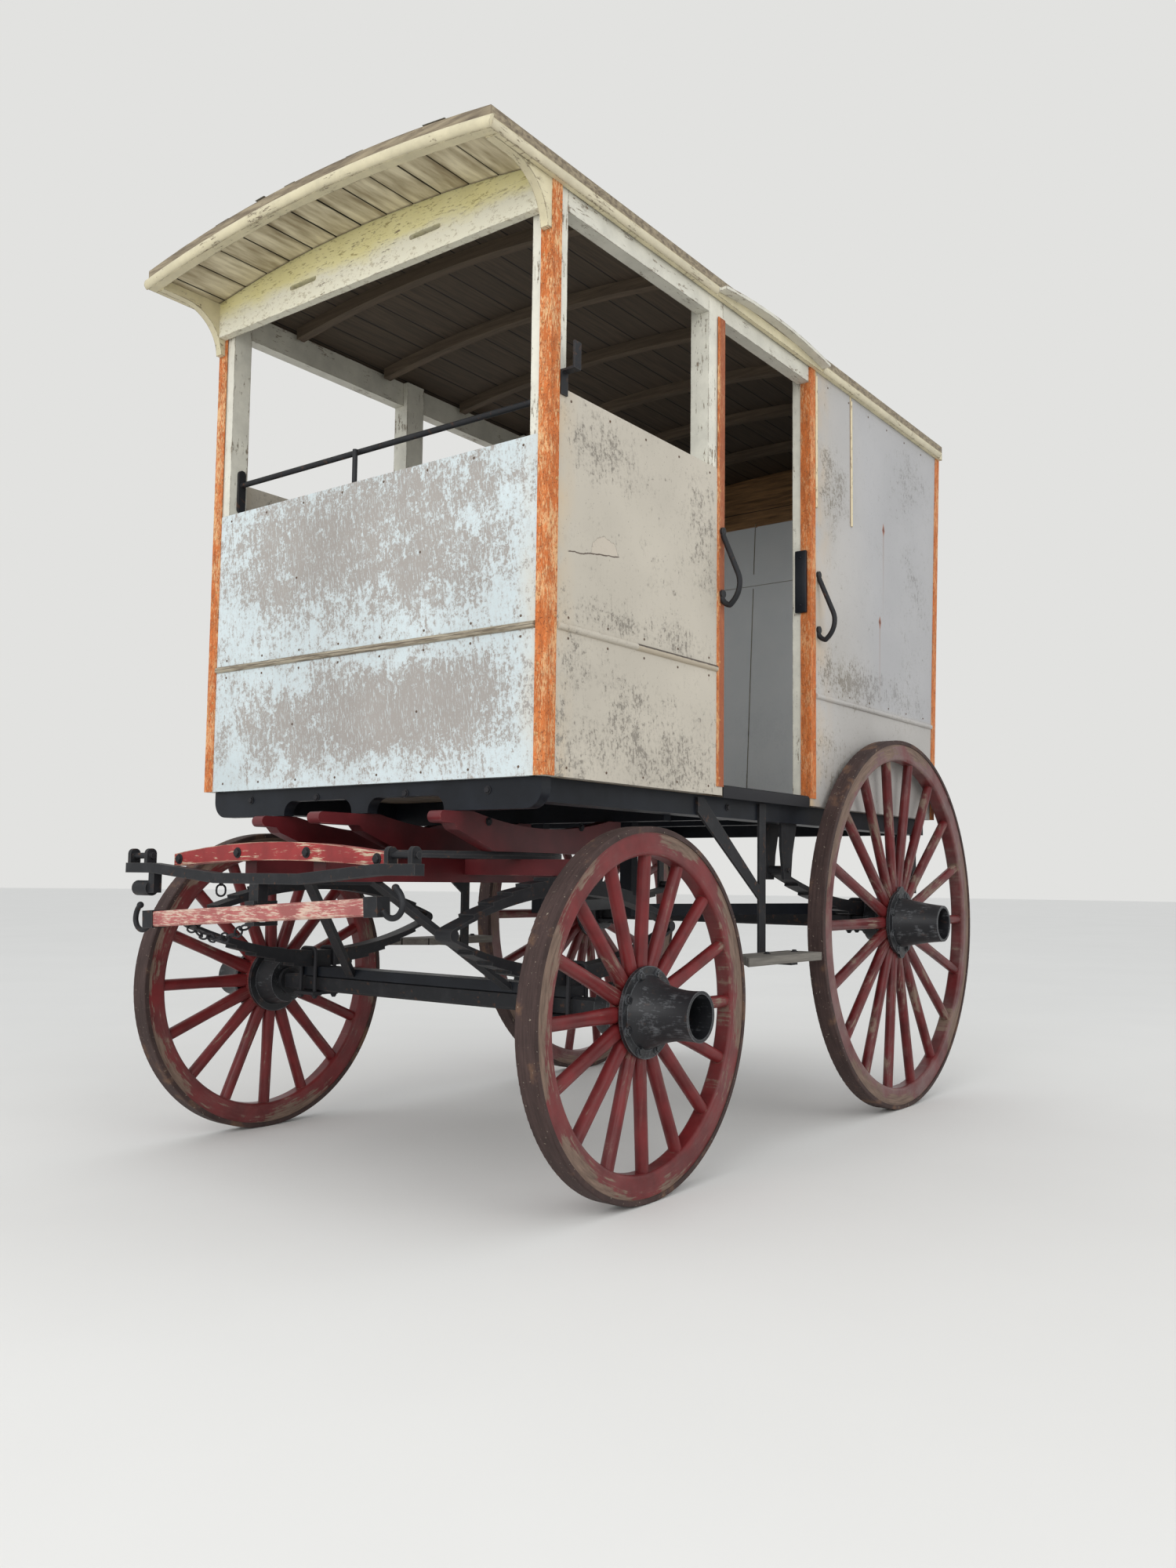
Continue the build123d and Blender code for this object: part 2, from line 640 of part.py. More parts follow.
# Truss bar with the straps that carry it under the ends of the draft rails
truss_x = FRONT_X + TRUSS_X
truss_low = DRAFT_RAIL_BOTTOM_Z - RAIL_IRON_THICKNESS
with BuildPart() as truss_bar:
    with BuildSketch(cross_plane(truss_x)):
        with BuildLine():
            under = [
                (-TRUSS_HALF_LENGTH, TRUSS_END_Z),
                (-TRUSS_END_FROM, TRUSS_END_Z),
                (-TRUSS_FLAT_HALF, truss_low),
                (TRUSS_FLAT_HALF, truss_low),
                (TRUSS_END_FROM, TRUSS_END_Z),
                (TRUSS_HALF_LENGTH, TRUSS_END_Z),
            ]
            Polyline(*under, *[(y, z + TRUSS_THICKNESS) for y, z in reversed(under)], close=True)
        make_face()
    extrude(amount=TRUSS_WIDTH / 2, both=True)
    for sign in (1, -1):
        block(
            (draft_back - RAIL_IRON_BACK, truss_x),
            (sign * DRAFT_RAIL_Y - DRAFT_RAIL_WIDTH / 2, sign * DRAFT_RAIL_Y + DRAFT_RAIL_WIDTH / 2),
            (truss_low, DRAFT_RAIL_BOTTOM_Z),
        )
    # a roller on its bracket below the right end
    roller_z = TRUSS_END_Z - ROLLER_DROP
    with BuildSketch(side_plane(-ROLLER_Y)):
        with Locations((truss_x, roller_z)):
            Circle(ROLLER_RADIUS)
    extrude(amount=ROLLER_LENGTH / 2, both=True)
    block(
        (truss_x - ROLLER_BRACKET / 2, truss_x + ROLLER_BRACKET / 2),
        (-ROLLER_Y + ROLLER_LENGTH / 2, -ROLLER_Y + ROLLER_LENGTH / 2 + ROLLER_BRACKET),
        (roller_z - ROLLER_BRACKET / 2, TRUSS_END_Z),
    )
save(truss_bar.part, "truss_bar")

# Stays that slope from the front of the axle bed up to the draft rails
stay_low = Vector(FRONT_X + AXLE_BED_WIDTH / 2, STAY_FOOT_Y, front_seat_z - STAY_THICKNESS)
stay_high = Vector(draft_back - STAY_HEAD_BACK, DRAFT_RAIL_Y, DRAFT_RAIL_BOTTOM_Z - STAY_THICKNESS / 2)
with BuildPart() as draft_stays:
    rise = stay_high - stay_low
    start = stay_low - rise.normalized() * STAY_OVERRUN
    with BuildSketch(Plane(origin=start, x_dir=(0, 1, 0), z_dir=rise)):
        Rectangle(STAY_WIDTH, STAY_THICKNESS)
    extrude(amount=rise.length + 2 * STAY_OVERRUN)
    # trimmed to the face of the bed and the underside of the rail
    block(
        (stay_low.X, stay_high.X + STAY_WIDTH),
        (0.0, BOLSTER_HALF_LENGTH),
        (front_axle_top, DRAFT_RAIL_BOTTOM_Z),
        mode=Mode.INTERSECT,
    )
    mirror(about=Plane.XZ)
save(draft_stays.part, "draft_stays")

# Shaft couplings: two ears on each end of the truss bar with a pin across them
coupling_base = TRUSS_END_Z + TRUSS_THICKNESS
ear_centre = (COUPLING_GAP + COUPLING_EAR) / 2
with BuildPart() as shaft_couplings:
    for offset in (-ear_centre, ear_centre):
        with BuildSketch(side_plane(COUPLING_Y + offset)):
            with Locations((truss_x, coupling_base + COUPLING_EAR_HEIGHT / 2)):
                Rectangle(TRUSS_WIDTH, COUPLING_EAR_HEIGHT)
            fillet(vertices().group_by(Axis.Y)[-1], TRUSS_WIDTH / 2 - 1.0)
        extrude(amount=COUPLING_EAR / 2, both=True)
    with BuildSketch(side_plane(COUPLING_Y)):
        with Locations((truss_x, coupling_base + COUPLING_EAR_HEIGHT / 2)):
            Circle(COUPLING_PIN_RADIUS)
    extrude(amount=COUPLING_GAP / 2 + COUPLING_EAR + 8.0, both=True)
    mirror(about=Plane.XZ)
save(shaft_couplings.part, "shaft_couplings")


# Singletree on its pin below the truss bar, hanging a little low on the right

tilt = radians(TREE_TILT)
tree_centre = (FRONT_X + TREE_X, 0, TREE_Z)
tree_up = (0, -sin(tilt), cos(tilt))
tree_plane = Plane(origin=tree_centre, x_dir=(1, 0, 0), z_dir=tree_up)
tree_side = Plane(origin=tree_centre, x_dir=(0, cos(tilt), sin(tilt)), z_dir=(1, 0, 0))
with BuildPart() as singletree:
    with BuildSketch(tree_side):
        Rectangle(2 * TREE_HALF_LENGTH, TREE_DEPTH)
    extrude(amount=TREE_THICKNESS / 2, both=True)
    chamfer(edges() | Axis(tree_centre, tree_side.x_dir), TREE_CHAMFER)
    with BuildSketch(tree_plane):
        Circle(TREE_PIN_RADIUS + TREE_PIN_CLEARANCE)
    extrude(amount=TREE_DEPTH, both=True, mode=Mode.SUBTRACT)
save(singletree.part, "singletree")

with BuildPart() as tree_irons:
    for sign in (1, -1):
        socket = TREE_HALF_LENGTH - TREE_SOCKET
        with BuildSketch(tree_side):
            with Locations((sign * (socket + (TREE_SOCKET + TREE_CAP) / 2), 0)):
                Rectangle(TREE_SOCKET + TREE_CAP, TREE_DEPTH + 2 * TREE_WALL)
        extrude(amount=TREE_THICKNESS / 2 + TREE_WALL, both=True)
        with BuildSketch(tree_side):
            with Locations((sign * (TREE_HALF_LENGTH - TREE_SOCKET / 2), 0)):
                Rectangle(TREE_SOCKET, TREE_DEPTH)
        extrude(amount=TREE_THICKNESS / 2, both=True, mode=Mode.SUBTRACT)
        # the hook leaves the socket low down and curls out and up
        root = TREE_HALF_LENGTH + TREE_CAP
        with BuildLine(tree_side) as route:
            ThreePointArc(
                (sign * root, -TREE_DEPTH / 4),
                (sign * (root + HOOK_RADIUS), -TREE_DEPTH / 4 - HOOK_RADIUS * 0.55),
                (sign * (root + 2 * HOOK_RADIUS), 0),
            )
            ThreePointArc(
                (sign * (root + 2 * HOOK_RADIUS), 0),
                (sign * (root + 1.9 * HOOK_RADIUS), HOOK_RADIUS * 0.6),
                (sign * (root + 1.3 * HOOK_RADIUS), HOOK_RADIUS * 1.3),
            )
        with BuildSketch(Plane(origin=route.line @ 0, z_dir=route.line % 0)):
            Circle(HOOK_WIRE_RADIUS)
        sweep()
        with Locations(route.line @ 1):
            Sphere(HOOK_WIRE_RADIUS + 2.0)
save(tree_irons.part, "tree_irons")

# Clevis that carries the singletree's pin, hanging from the middle of the truss bar
plate_gap = TREE_DEPTH / 2 + CLEVIS_GAP
clevis_back = -TREE_THICKNESS / 2 - CLEVIS_GAP - CLEVIS_SET_BACK
with BuildPart() as tree_clevis:
    with BuildSketch(Plane(origin=tree_centre, x_dir=(1, 0, 0), z_dir=(0, -cos(tilt), -sin(tilt)))):
        outer = plate_gap + CLEVIS_PLATE
        with BuildLine():
            Polyline(
                (CLEVIS_NOSE, plate_gap),
                (clevis_back, plate_gap),
                (clevis_back, -plate_gap),
                (CLEVIS_NOSE, -plate_gap),
                (CLEVIS_NOSE, -outer),
                (clevis_back - CLEVIS_PLATE, -outer),
                (clevis_back - CLEVIS_PLATE, outer),
                (CLEVIS_NOSE, outer),
                close=True,
            )
        make_face()
    extrude(amount=CLEVIS_WIDTH / 2, both=True)
    with BuildSketch(tree_plane.offset(-plate_gap - CLEVIS_PLATE)):
        Circle(TREE_PIN_RADIUS)
    extrude(amount=2 * (plate_gap + CLEVIS_PLATE))
    block(
        (truss_x - TRUSS_WIDTH / 2, truss_x + TRUSS_WIDTH / 2),
        (-CLEVIS_WIDTH / 2, CLEVIS_WIDTH / 2),
        (TREE_Z + plate_gap + CLEVIS_PLATE / 2, truss_low),
    )
save(tree_clevis.part, "tree_clevis")


# Underframe: sills, cross timbers and the scalloped board under the front panel

sill_top = BODY_BOTTOM_Z
sill_bottom = sill_top - SILL_HEIGHT
sill_outer = BODY_HALF_WIDTH - SILL_INSET
sill_inner = sill_outer - SILL_WIDTH
board_front = body_front - CROSS_BOARD_SET_BACK
sill_front = board_front - CROSS_BOARD_THICKNESS
with BuildPart() as underframe:
    for sign in (1, -1):
        block((body_back, sill_front), (sign * sill_inner, sign * sill_outer), (sill_bottom, sill_top))
    # cross timbers: x of the middle below the floor, underside
    for timber_x, underside in (
        (FRONT_X - ROCKER_CROSS_X, board_bottom),
        (FRONT_X - BAR_CROSS_X, sill_bottom),
        (door_back, sill_bottom),
        (body_back + CROSS_BOARD_THICKNESS / 2, sill_bottom),
    ):
        half = CROSS_BOARD_THICKNESS / 2
        block((timber_x - half, timber_x + half), (-sill_inner, sill_inner), (underside, sill_top))
save(underframe.part, "underframe")

with BuildPart() as front_cross_board:
    with BuildSketch(cross_plane(board_front)):
        with Locations((0, (board_bottom + BODY_BOTTOM_Z) / 2)):
            Rectangle(2 * CROSS_BOARD_HALF_LENGTH, CROSS_BOARD_HEIGHT)
        fillet(vertices().group_by(Axis.Y)[0], CROSS_BOARD_END_RADIUS)
        scallop = ROCKER_Y - CROSS_BOARD_TOOTH
        for middle in (-ROCKER_Y / 2, ROCKER_Y / 2):
            with Locations((middle, board_bottom)):
                corner = CROSS_BOARD_SCALLOP - 4.0
                RectangleRounded(scallop, 2 * CROSS_BOARD_SCALLOP, corner, mode=Mode.SUBTRACT)
    extrude(amount=-CROSS_BOARD_THICKNESS)
save(front_cross_board.part, "front_cross_board")


def rocker(y, ahead):
    """A sagging beam: ends under the cross timbers, belly on the turntable, nose in front."""
    belly_top = rocker_bottom + ROCKER_DEPTH
    nose_z = board_bottom - ROCKER_NOSE_DROP
    nose_x = FRONT_X + ahead - ROCKER_NOSE_RADIUS
    throat_x = FRONT_X + BODY_AHEAD - ROCKER_NOSE_RADIUS
    back = FRONT_X - ROCKER_BACK
    flat_back = FRONT_X - ROCKER_FLAT_BACK
    flat_front = FRONT_X + ROCKER_FLAT_FRONT
    low_nose = nose_z - ROCKER_NOSE_RADIUS
    with BuildSketch(side_plane(y)) as outline:
        with BuildLine():
            Polyline((back, board_bottom), (back, board_bottom - ROCKER_END_DEPTH))
            Line((back, board_bottom - ROCKER_END_DEPTH), (flat_back, rocker_bottom))
            Line((flat_back, rocker_bottom), (flat_front, rocker_bottom))
            Line((flat_front, rocker_bottom), (throat_x, low_nose - ROCKER_NOSE_RADIUS))
            Line((throat_x, low_nose - ROCKER_NOSE_RADIUS), (throat_x + ROCKER_NOSE_RADIUS, low_nose))
            Line((throat_x + ROCKER_NOSE_RADIUS, low_nose), (nose_x, low_nose))
            ThreePointArc(
                (nose_x, low_nose),
                (nose_x + ROCKER_NOSE_RADIUS, nose_z),
                (nose_x, nose_z + ROCKER_NOSE_RADIUS),
            )
            Line((nose_x, nose_z + ROCKER_NOSE_RADIUS), (throat_x, nose_z + ROCKER_NOSE_RADIUS))
            Line((throat_x, nose_z + ROCKER_NOSE_RADIUS), (throat_x - ROCKER_NOSE_RADIUS, board_bottom))
            Line((throat_x - ROCKER_NOSE_RADIUS, board_bottom), (throat_x - ROCKER_SHOULDER, board_bottom))
            ThreePointArc(
                (throat_x - ROCKER_SHOULDER, board_bottom),
                ((throat_x - ROCKER_SHOULDER + back + ROCKER_SHOULDER) / 2, belly_top),
                (back + ROCKER_SHOULDER, board_bottom),
            )
            Line((back + ROCKER_SHOULDER, board_bottom), (back, board_bottom))
        make_face()
    extrude(outline.sketch, amount=ROCKER_THICKNESS / 2, both=True)


with BuildPart() as rocker_bars:
    rocker(-ROCKER_Y, ROCKER_AHEAD)
    rocker(0, ROCKER_AHEAD + ROCKER_CENTRE_EXTRA)
    rocker(ROCKER_Y, ROCKER_AHEAD)
save(rocker_bars.part, "rocker_bars")


# Body

with BuildPart() as floor:
    block(
        (body_back + WALL, body_front - WALL),
        (-(frame_half_width - WALL), frame_half_width - WALL),
        (BODY_BOTTOM_Z, BODY_BOTTOM_Z + FLOOR_THICKNESS),
    )
    # the doorways: floor runs out to the face of the body
    block(
        (door_back, door_front),
        (-frame_half_width, frame_half_width),
        (BODY_BOTTOM_Z, BODY_BOTTOM_Z + FLOOR_THICKNESS),
    )
save(floor.part, "floor")

post_inner = frame_half_width - POST
with BuildPart() as front_posts:
    post_front = body_front - SKIN
    block((post_front - POST, post_front), (post_inner, frame_half_width), (BODY_BOTTOM_Z, body_top))
    block(
        (post_front - POST, post_front),
        (post_inner, frame_half_width - WALL),
        (BODY_BOTTOM_Z, post_foot),
        mode=Mode.SUBTRACT,
    )
    mirror(about=Plane.XZ)
save(front_posts.part, "front_posts")

with BuildPart() as door_posts:
    for x_range in ((door_front, door_front + DOOR_POST_WIDTH), (door_back - POST, door_back)):
        block(x_range, (post_inner, frame_half_width), (post_foot, body_top))
    mirror(about=Plane.XZ)
save(door_posts.part, "door_posts")

with BuildPart() as rear_posts:
    with BuildSketch(side_plane(frame_half_width)):
        with BuildLine():
            Polyline(
                (rear_face(post_foot) + WALL, post_foot),
                (rear_face(post_foot) + WALL + POST, post_foot),
                (rear_face(body_top) + WALL + POST, body_top),
                (rear_face(body_top) + WALL, body_top),
                close=True,
            )
        make_face()
    extrude(amount=POST)
    mirror(about=Plane.XZ)
save(rear_posts.part, "rear_posts")


def side_panel(sign, x_front, x_back_low, x_back_high, top, frame_front, frame_back_low, frame_back_high):
    """Side wall: framing between the posts, a sheet over it, and the belt moulding."""
    outer = sign * BODY_HALF_WIDTH
    with BuildPart() as panel:
        with BuildSketch(side_plane(outer)):
            with BuildLine():
                Polyline(
                    (x_front, BODY_BOTTOM_Z),
                    (x_back_low, BODY_BOTTOM_Z),
                    (x_back_high, top),
                    (x_front, top),
                    close=True,
                )
            make_face()
        extrude(amount=sign * SKIN)
        with BuildSketch(side_plane(outer - sign * SKIN)):
            with BuildLine():
                Polyline(
                    (frame_front, BODY_BOTTOM_Z),
                    (frame_back_low, BODY_BOTTOM_Z),
                    (frame_back_high, top),
                    (frame_front, top),
                    close=True,
                )
            make_face()
        extrude(amount=sign * (WALL - SKIN))
        belt_back = x_back_low + (x_back_high - x_back_low) * (BELT_Z - BODY_BOTTOM_Z) / (top - BODY_BOTTOM_Z)
        belt_back += ANGLE_LEG
        belt_front = x_front - ANGLE_LEG
        with BuildSketch(Plane(origin=(belt_front, outer, BELT_Z), x_dir=(0, sign, 0), z_dir=(-1, 0, 0))):
            half_round(BELT_RADIUS)
        extrude(amount=belt_front - belt_back)
        if top > STRIP_TOP_Z:
            for strip_x in (FRONT_X - STRIP_X, x_front - ANGLE_LEG - STRIP_RADIUS):
                strip_foot = (strip_x, outer, STRIP_BOTTOM_Z)
                with BuildSketch(Plane(origin=strip_foot, x_dir=(0, sign, 0), z_dir=(0, 0, 1))):
                    half_round(STRIP_RADIUS)
                extrude(amount=STRIP_TOP_Z - STRIP_BOTTOM_Z)
    return panel.part


for side, sign in (("left", 1), ("right", -1)):
    save(
        side_panel(
            sign, body_front - SKIN, door_front, door_front, SIDE_PANEL_TOP_Z,
            body_front - SKIN - POST, door_front + DOOR_POST_WIDTH, door_front + DOOR_POST_WIDTH,
        ),
        f"side_panel_front_{side}",
    )
    save(
        side_panel(
            sign, door_back, rear_face(BODY_BOTTOM_Z) + SKIN, rear_face(body_top) + SKIN, body_top,
            door_back - POST, rear_face(BODY_BOTTOM_Z) + WALL + POST, rear_face(body_top) + WALL + POST,
        ),
        f"side_panel_rear_{side}",
    )

with BuildPart() as front_panel:
    height = (BODY_BOTTOM_Z, FRONT_PANEL_TOP_Z)
    block((body_front - SKIN, body_front), (-BODY_HALF_WIDTH, BODY_HALF_WIDTH), height)
    block((body_front - WALL, body_front - SKIN), (-post_inner, post_inner), height)
    with BuildSketch(Plane(origin=(body_front, 0, BELT_Z), x_dir=(1, 0, 0), z_dir=(0, 1, 0))):
        half_round(BELT_RADIUS)
    extrude(amount=BODY_HALF_WIDTH - ANGLE_LEG, both=True)
save(front_panel.part, "front_panel")

# Rear wall: a leaning slab under the roof's arch, with grooves between the sheets inside
wall_top = body_top + ROOF_RISE
with BuildPart() as rear_wall:
    for near, far, half_width in ((0.0, SKIN, BODY_HALF_WIDTH), (SKIN, WALL, frame_half_width)):
        with BuildSketch(side_plane(0)):
            with BuildLine():
                Polyline(
                    (rear_face(BODY_BOTTOM_Z) + near, BODY_BOTTOM_Z),
                    (rear_face(BODY_BOTTOM_Z) + far, BODY_BOTTOM_Z),
                    (rear_face(wall_top) + far, wall_top),
                    (rear_face(wall_top) + near, wall_top),
                    close=True,
                )
            make_face()
        extrude(amount=half_width, both=True)
    with BuildSketch(cross_plane(rear_face(wall_top) - WALL)):
        arch(BODY_HALF_WIDTH, body_top, ROOF_RISE, ROOF_RISE)
        with Locations((0, (body_top - ROOF_RISE + BODY_BOTTOM_Z) / 2)):
            Rectangle(2 * BODY_HALF_WIDTH, body_top - ROOF_RISE - BODY_BOTTOM_Z)
        with Locations((0, body_top - ROOF_RISE / 2)):
            Rectangle(2 * BODY_HALF_WIDTH, ROOF_RISE)
    extrude(amount=REAR_LEAN + 3 * WALL, mode=Mode.INTERSECT)
    # y range and z range of each groove
    for y_range, z_range in (
        ((-post_inner, post_inner), (REAR_RAIL_Z, REAR_RAIL_Z + GROOVE_WIDTH)),
        ((-REAR_STILE_Y, GROOVE_WIDTH - REAR_STILE_Y), (post_foot, REAR_RAIL_Z)),
        ((-REAR_STILE_Y, GROOVE_WIDTH - REAR_STILE_Y), (REAR_RAIL_Z + REAR_RAIL_HEIGHT, REAR_HEADER_Z)),
    ):
        with BuildSketch(side_plane(y_range[0])):
            with BuildLine():
                depth = WALL - GROOVE_DEPTH
                Polyline(
                    (rear_face(z_range[0]) + depth, z_range[0]),
                    (rear_face(z_range[0]) + 2 * WALL, z_range[0]),
                    (rear_face(z_range[1]) + 2 * WALL, z_range[1]),
                    (rear_face(z_range[1]) + depth, z_range[1]),
                    close=True,
                )
            make_face()
        extrude(amount=y_range[0] - y_range[1], mode=Mode.SUBTRACT)
save(rear_wall.part, "rear_wall")

with BuildPart() as corner_irons:
    corners = [
        # x and y of the outer corner of the angle, direction of its legs along x, its foot, its head
        (body_front + ANGLE_THICKNESS, -1, BODY_BOTTOM_Z, EAVE_Z),
        (door_back + ANGLE_THICKNESS, -1, post_foot, EAVE_Z),
        (door_front - ANGLE_THICKNESS, 1, post_foot, EAVE_Z - EAVE_RAIL_HEIGHT),
    ]
    for corner_x, direction, foot, head in corners:
        corner_y = BODY_HALF_WIDTH + ANGLE_THICKNESS
        with BuildSketch(Plane.XY.offset(foot)):
            with BuildLine():
                Polyline(
                    (corner_x, corner_y),
                    (corner_x + direction * ANGLE_LEG, corner_y),
                    (corner_x + direction * ANGLE_LEG, corner_y - ANGLE_THICKNESS),
                    (corner_x + direction * ANGLE_THICKNESS, corner_y - ANGLE_THICKNESS),
                    (corner_x + direction * ANGLE_THICKNESS, corner_y - ANGLE_LEG),
                    (corner_x, corner_y - ANGLE_LEG),
                    close=True,
                )
            make_face()
        extrude(amount=head - foot)
    # the rear corners lean back with the rear face
    legs = (
        # how far the leg reaches forward of the rear face, how far in from the side
        (ANGLE_LEG - ANGLE_THICKNESS, ANGLE_THICKNESS),
        (0.0, ANGLE_LEG),
    )
    for ahead, inwards in legs:
        with BuildSketch(side_plane(BODY_HALF_WIDTH + ANGLE_THICKNESS)):
            with BuildLine():
                Polyline(
                    (rear_face(BODY_BOTTOM_Z) - ANGLE_THICKNESS, BODY_BOTTOM_Z),
                    (rear_face(BODY_BOTTOM_Z) + ahead, BODY_BOTTOM_Z),
                    (rear_face(EAVE_Z) + ahead, EAVE_Z),
                    (rear_face(EAVE_Z) - ANGLE_THICKNESS, EAVE_Z),
                    close=True,
                )
            make_face()
        extrude(amount=inwards)
    mirror(about=Plane.XZ)
save(corner_irons.part, "corner_irons")

rail_bottom = EAVE_Z - EAVE_RAIL_HEIGHT
with BuildPart() as eave_rails:
    # the stretches between posts: front end, back end
    for x_front, x_back in (
        (body_front - SKIN - POST, door_front + DOOR_POST_WIDTH),
        (door_front, door_back + ANGLE_THICKNESS),
    ):
        block((x_back, x_front), (post_inner + RAIL_INSET, frame_half_width), (rail_bottom, body_top))
    mirror(about=Plane.XZ)
save(eave_rails.part, "eave_rails")


# Roof

roof_front = FRONT_X + ROOF_AHEAD
roof_back = FRONT_X - ROOF_BEHIND
deck_half = ROOF_HALF_WIDTH - CORNICE_WIDTH

with BuildPart() as roof_deck:
    with BuildSketch(cross_plane(roof_back)):
        arch(deck_half, deck_top_edge, ROOF_RISE, ROOF_DECK)
    extrude(amount=roof_front - ROOF_EDGE_THICKNESS - roof_back)
save(roof_deck.part, "roof_deck")

with BuildPart() as roof_canvas:
    with BuildSketch(cross_plane(roof_back)):
        arch(deck_half, deck_top_edge + ROOF_CANVAS, ROOF_RISE, ROOF_CANVAS)
    extrude(amount=roof_front - ROOF_EDGE_THICKNESS - roof_back)
save(roof_canvas.part, "roof_canvas")

with BuildPart() as roof_edging:
    with BuildSketch(cross_plane(roof_front - ROOF_EDGE_THICKNESS)):
        arch(ROOF_HALF_WIDTH, EAVE_Z + ROOF_EDGE_DEPTH, ROOF_RISE, ROOF_EDGE_DEPTH)
    extrude(amount=ROOF_EDGE_THICKNESS)
    for sign in (1, -1):
        block(
            (roof_back, roof_front - ROOF_EDGE_THICKNESS),
            (sign * deck_half, sign * ROOF_HALF_WIDTH),
            (EAVE_Z, EAVE_Z + ROOF_EDGE_DEPTH),
        )
save(roof_edging.part, "roof_edging")

bow_first = body_front - 60.0
bow_last = rear_face(EAVE_Z) + 150.0
with BuildPart() as roof_bows:
    for bow in range(BOW_COUNT):
        bow_x = bow_first + (bow_last - bow_first) * (bow + 0.5) / BOW_COUNT
        with BuildSketch(cross_plane(bow_x - BOW_WIDTH / 2)):
            bow_edge = body_top + ROOF_RISE * (1 - (post_inner / deck_half) ** 2)
            arch(post_inner, bow_edge, body_top + ROOF_RISE - bow_edge, BOW_DEPTH)
        extrude(amount=BOW_WIDTH)
save(roof_bows.part, "roof_bows")

header_half = BODY_HALF_WIDTH - BRACKET_THICKNESS
with BuildPart() as front_header:
    with BuildSketch(cross_plane(body_front + ANGLE_THICKNESS)):
        arch(header_half, body_top, ROOF_RISE, ROOF_RISE)
        with Locations((0, (body_top + HEADER_BOTTOM_Z) / 2)):
            Rectangle(2 * header_half, body_top - HEADER_BOTTOM_Z)
        for sign in (1, -1):
            with Locations((sign * SLOT_Y, SLOT_Z)):
                SlotOverall(SLOT_LENGTH, SLOT_HEIGHT, mode=Mode.SUBTRACT)
    extrude(amount=HEADER_THICKNESS)
save(front_header.part, "front_header")

with BuildPart() as roof_brackets:
    with BuildSketch(side_plane(BODY_HALF_WIDTH)):
        with BuildLine():
            start = body_front + ANGLE_THICKNESS
            front = roof_front - ROOF_EDGE_THICKNESS
            cove_front = start + BRACKET_REACH
            foot_z = EAVE_Z - BRACKET_DROP
            Polyline(
                (start + BRACKET_FOOT, foot_z),
                (start, foot_z),
                (start, body_top),
                (front, body_top),
                (front, EAVE_Z),
                (cove_front, EAVE_Z),
            )
            ThreePointArc(
                (cove_front, EAVE_Z),
                (start + BRACKET_REACH * 0.38, EAVE_Z - BRACKET_DROP * 0.3),
                (start + BRACKET_FOOT, foot_z),
            )
        make_face()
    extrude(amount=BRACKET_THICKNESS)
    mirror(about=Plane.XZ)
save(roof_brackets.part, "roof_brackets")


# Hand irons

rail_x = body_front - RAIL_SET_BACK
with BuildPart() as front_rail:
    with BuildSketch(side_plane(0)):
        with Locations((rail_x + 20.0, RAIL_Z)):
            Circle(RAIL_RADIUS)
    extrude(amount=post_inner - RAIL_PLATE_THICKNESS, both=True)
    with BuildSketch(Plane.XY.offset(FRONT_PANEL_TOP_Z)):
        with Locations((rail_x + 40.0, STANCHION_Y)):
            Circle(RAIL_RADIUS - 1.0)
    extrude(amount=RAIL_Z - FRONT_PANEL_TOP_Z)
    for sign in (1, -1):
        with BuildSketch(side_plane(sign * post_inner)):
            with Locations((rail_x + 20.0, RAIL_Z - 20.0)):
                SlotOverall(RAIL_PLATE_HEIGHT, RAIL_PLATE_WIDTH, rotation=90)
        extrude(amount=sign * RAIL_PLATE_THICKNESS)
save(front_rail.part, "front_rail")

with BuildPart() as grab_handles:
    # the front one is screwed on over the jamb iron, the rear one beside it
    handle_feet = (
        (door_front + HANDLE_INSET, BODY_HALF_WIDTH + ANGLE_THICKNESS),
        (door_back - ANGLE_LEG - STRIP_RADIUS - HANDLE_INSET, BODY_HALF_WIDTH),
    )
    for handle_x, handle_y in handle_feet:
        out_plane = Plane(origin=(handle_x, handle_y, 0), x_dir=(0, 1, 0), z_dir=(1, 0, 0))
        with BuildLine(out_plane) as route:
            elbow = (HANDLE_REACH, HANDLE_BOTTOM_Z + HANDLE_REACH)
            low = (HANDLE_REACH / 2, HANDLE_BOTTOM_Z - HANDLE_SAG)
            Line((0, HANDLE_TOP_Z), elbow)
            ThreePointArc(elbow, (HANDLE_REACH * 0.98, HANDLE_BOTTOM_Z - HANDLE_SAG * 0.1), low)
            hollow = (HANDLE_REACH * 0.16, HANDLE_BOTTOM_Z - HANDLE_SAG * 0.7)
            ThreePointArc(low, hollow, (0, HANDLE_BOTTOM_Z))
        with BuildSketch(Plane(origin=route.line @ 0, z_dir=route.line % 0)):
            Circle(HANDLE_RADIUS)
        sweep(transition=Transition.ROUND)
        for foot_z in (HANDLE_TOP_Z, HANDLE_BOTTOM_Z):
            foot = (handle_x, handle_y, foot_z)
            with BuildSketch(Plane(origin=foot, x_dir=(1, 0, 0), z_dir=(0, 1, 0))):
                Circle(HANDLE_RADIUS + HANDLE_COLLAR)
            extrude(amount=HANDLE_COLLAR * 2)
        # trimmed flush with what the feet stand on
        inside = (BODY_HALF_WIDTH - HANDLE_REACH, handle_y)
        beside = (handle_x - HANDLE_REACH, handle_x + HANDLE_REACH)
        block(beside, inside, (0.0, EAVE_Z), mode=Mode.SUBTRACT)
    mirror(about=Plane.XZ)
save(grab_handles.part, "grab_handles")

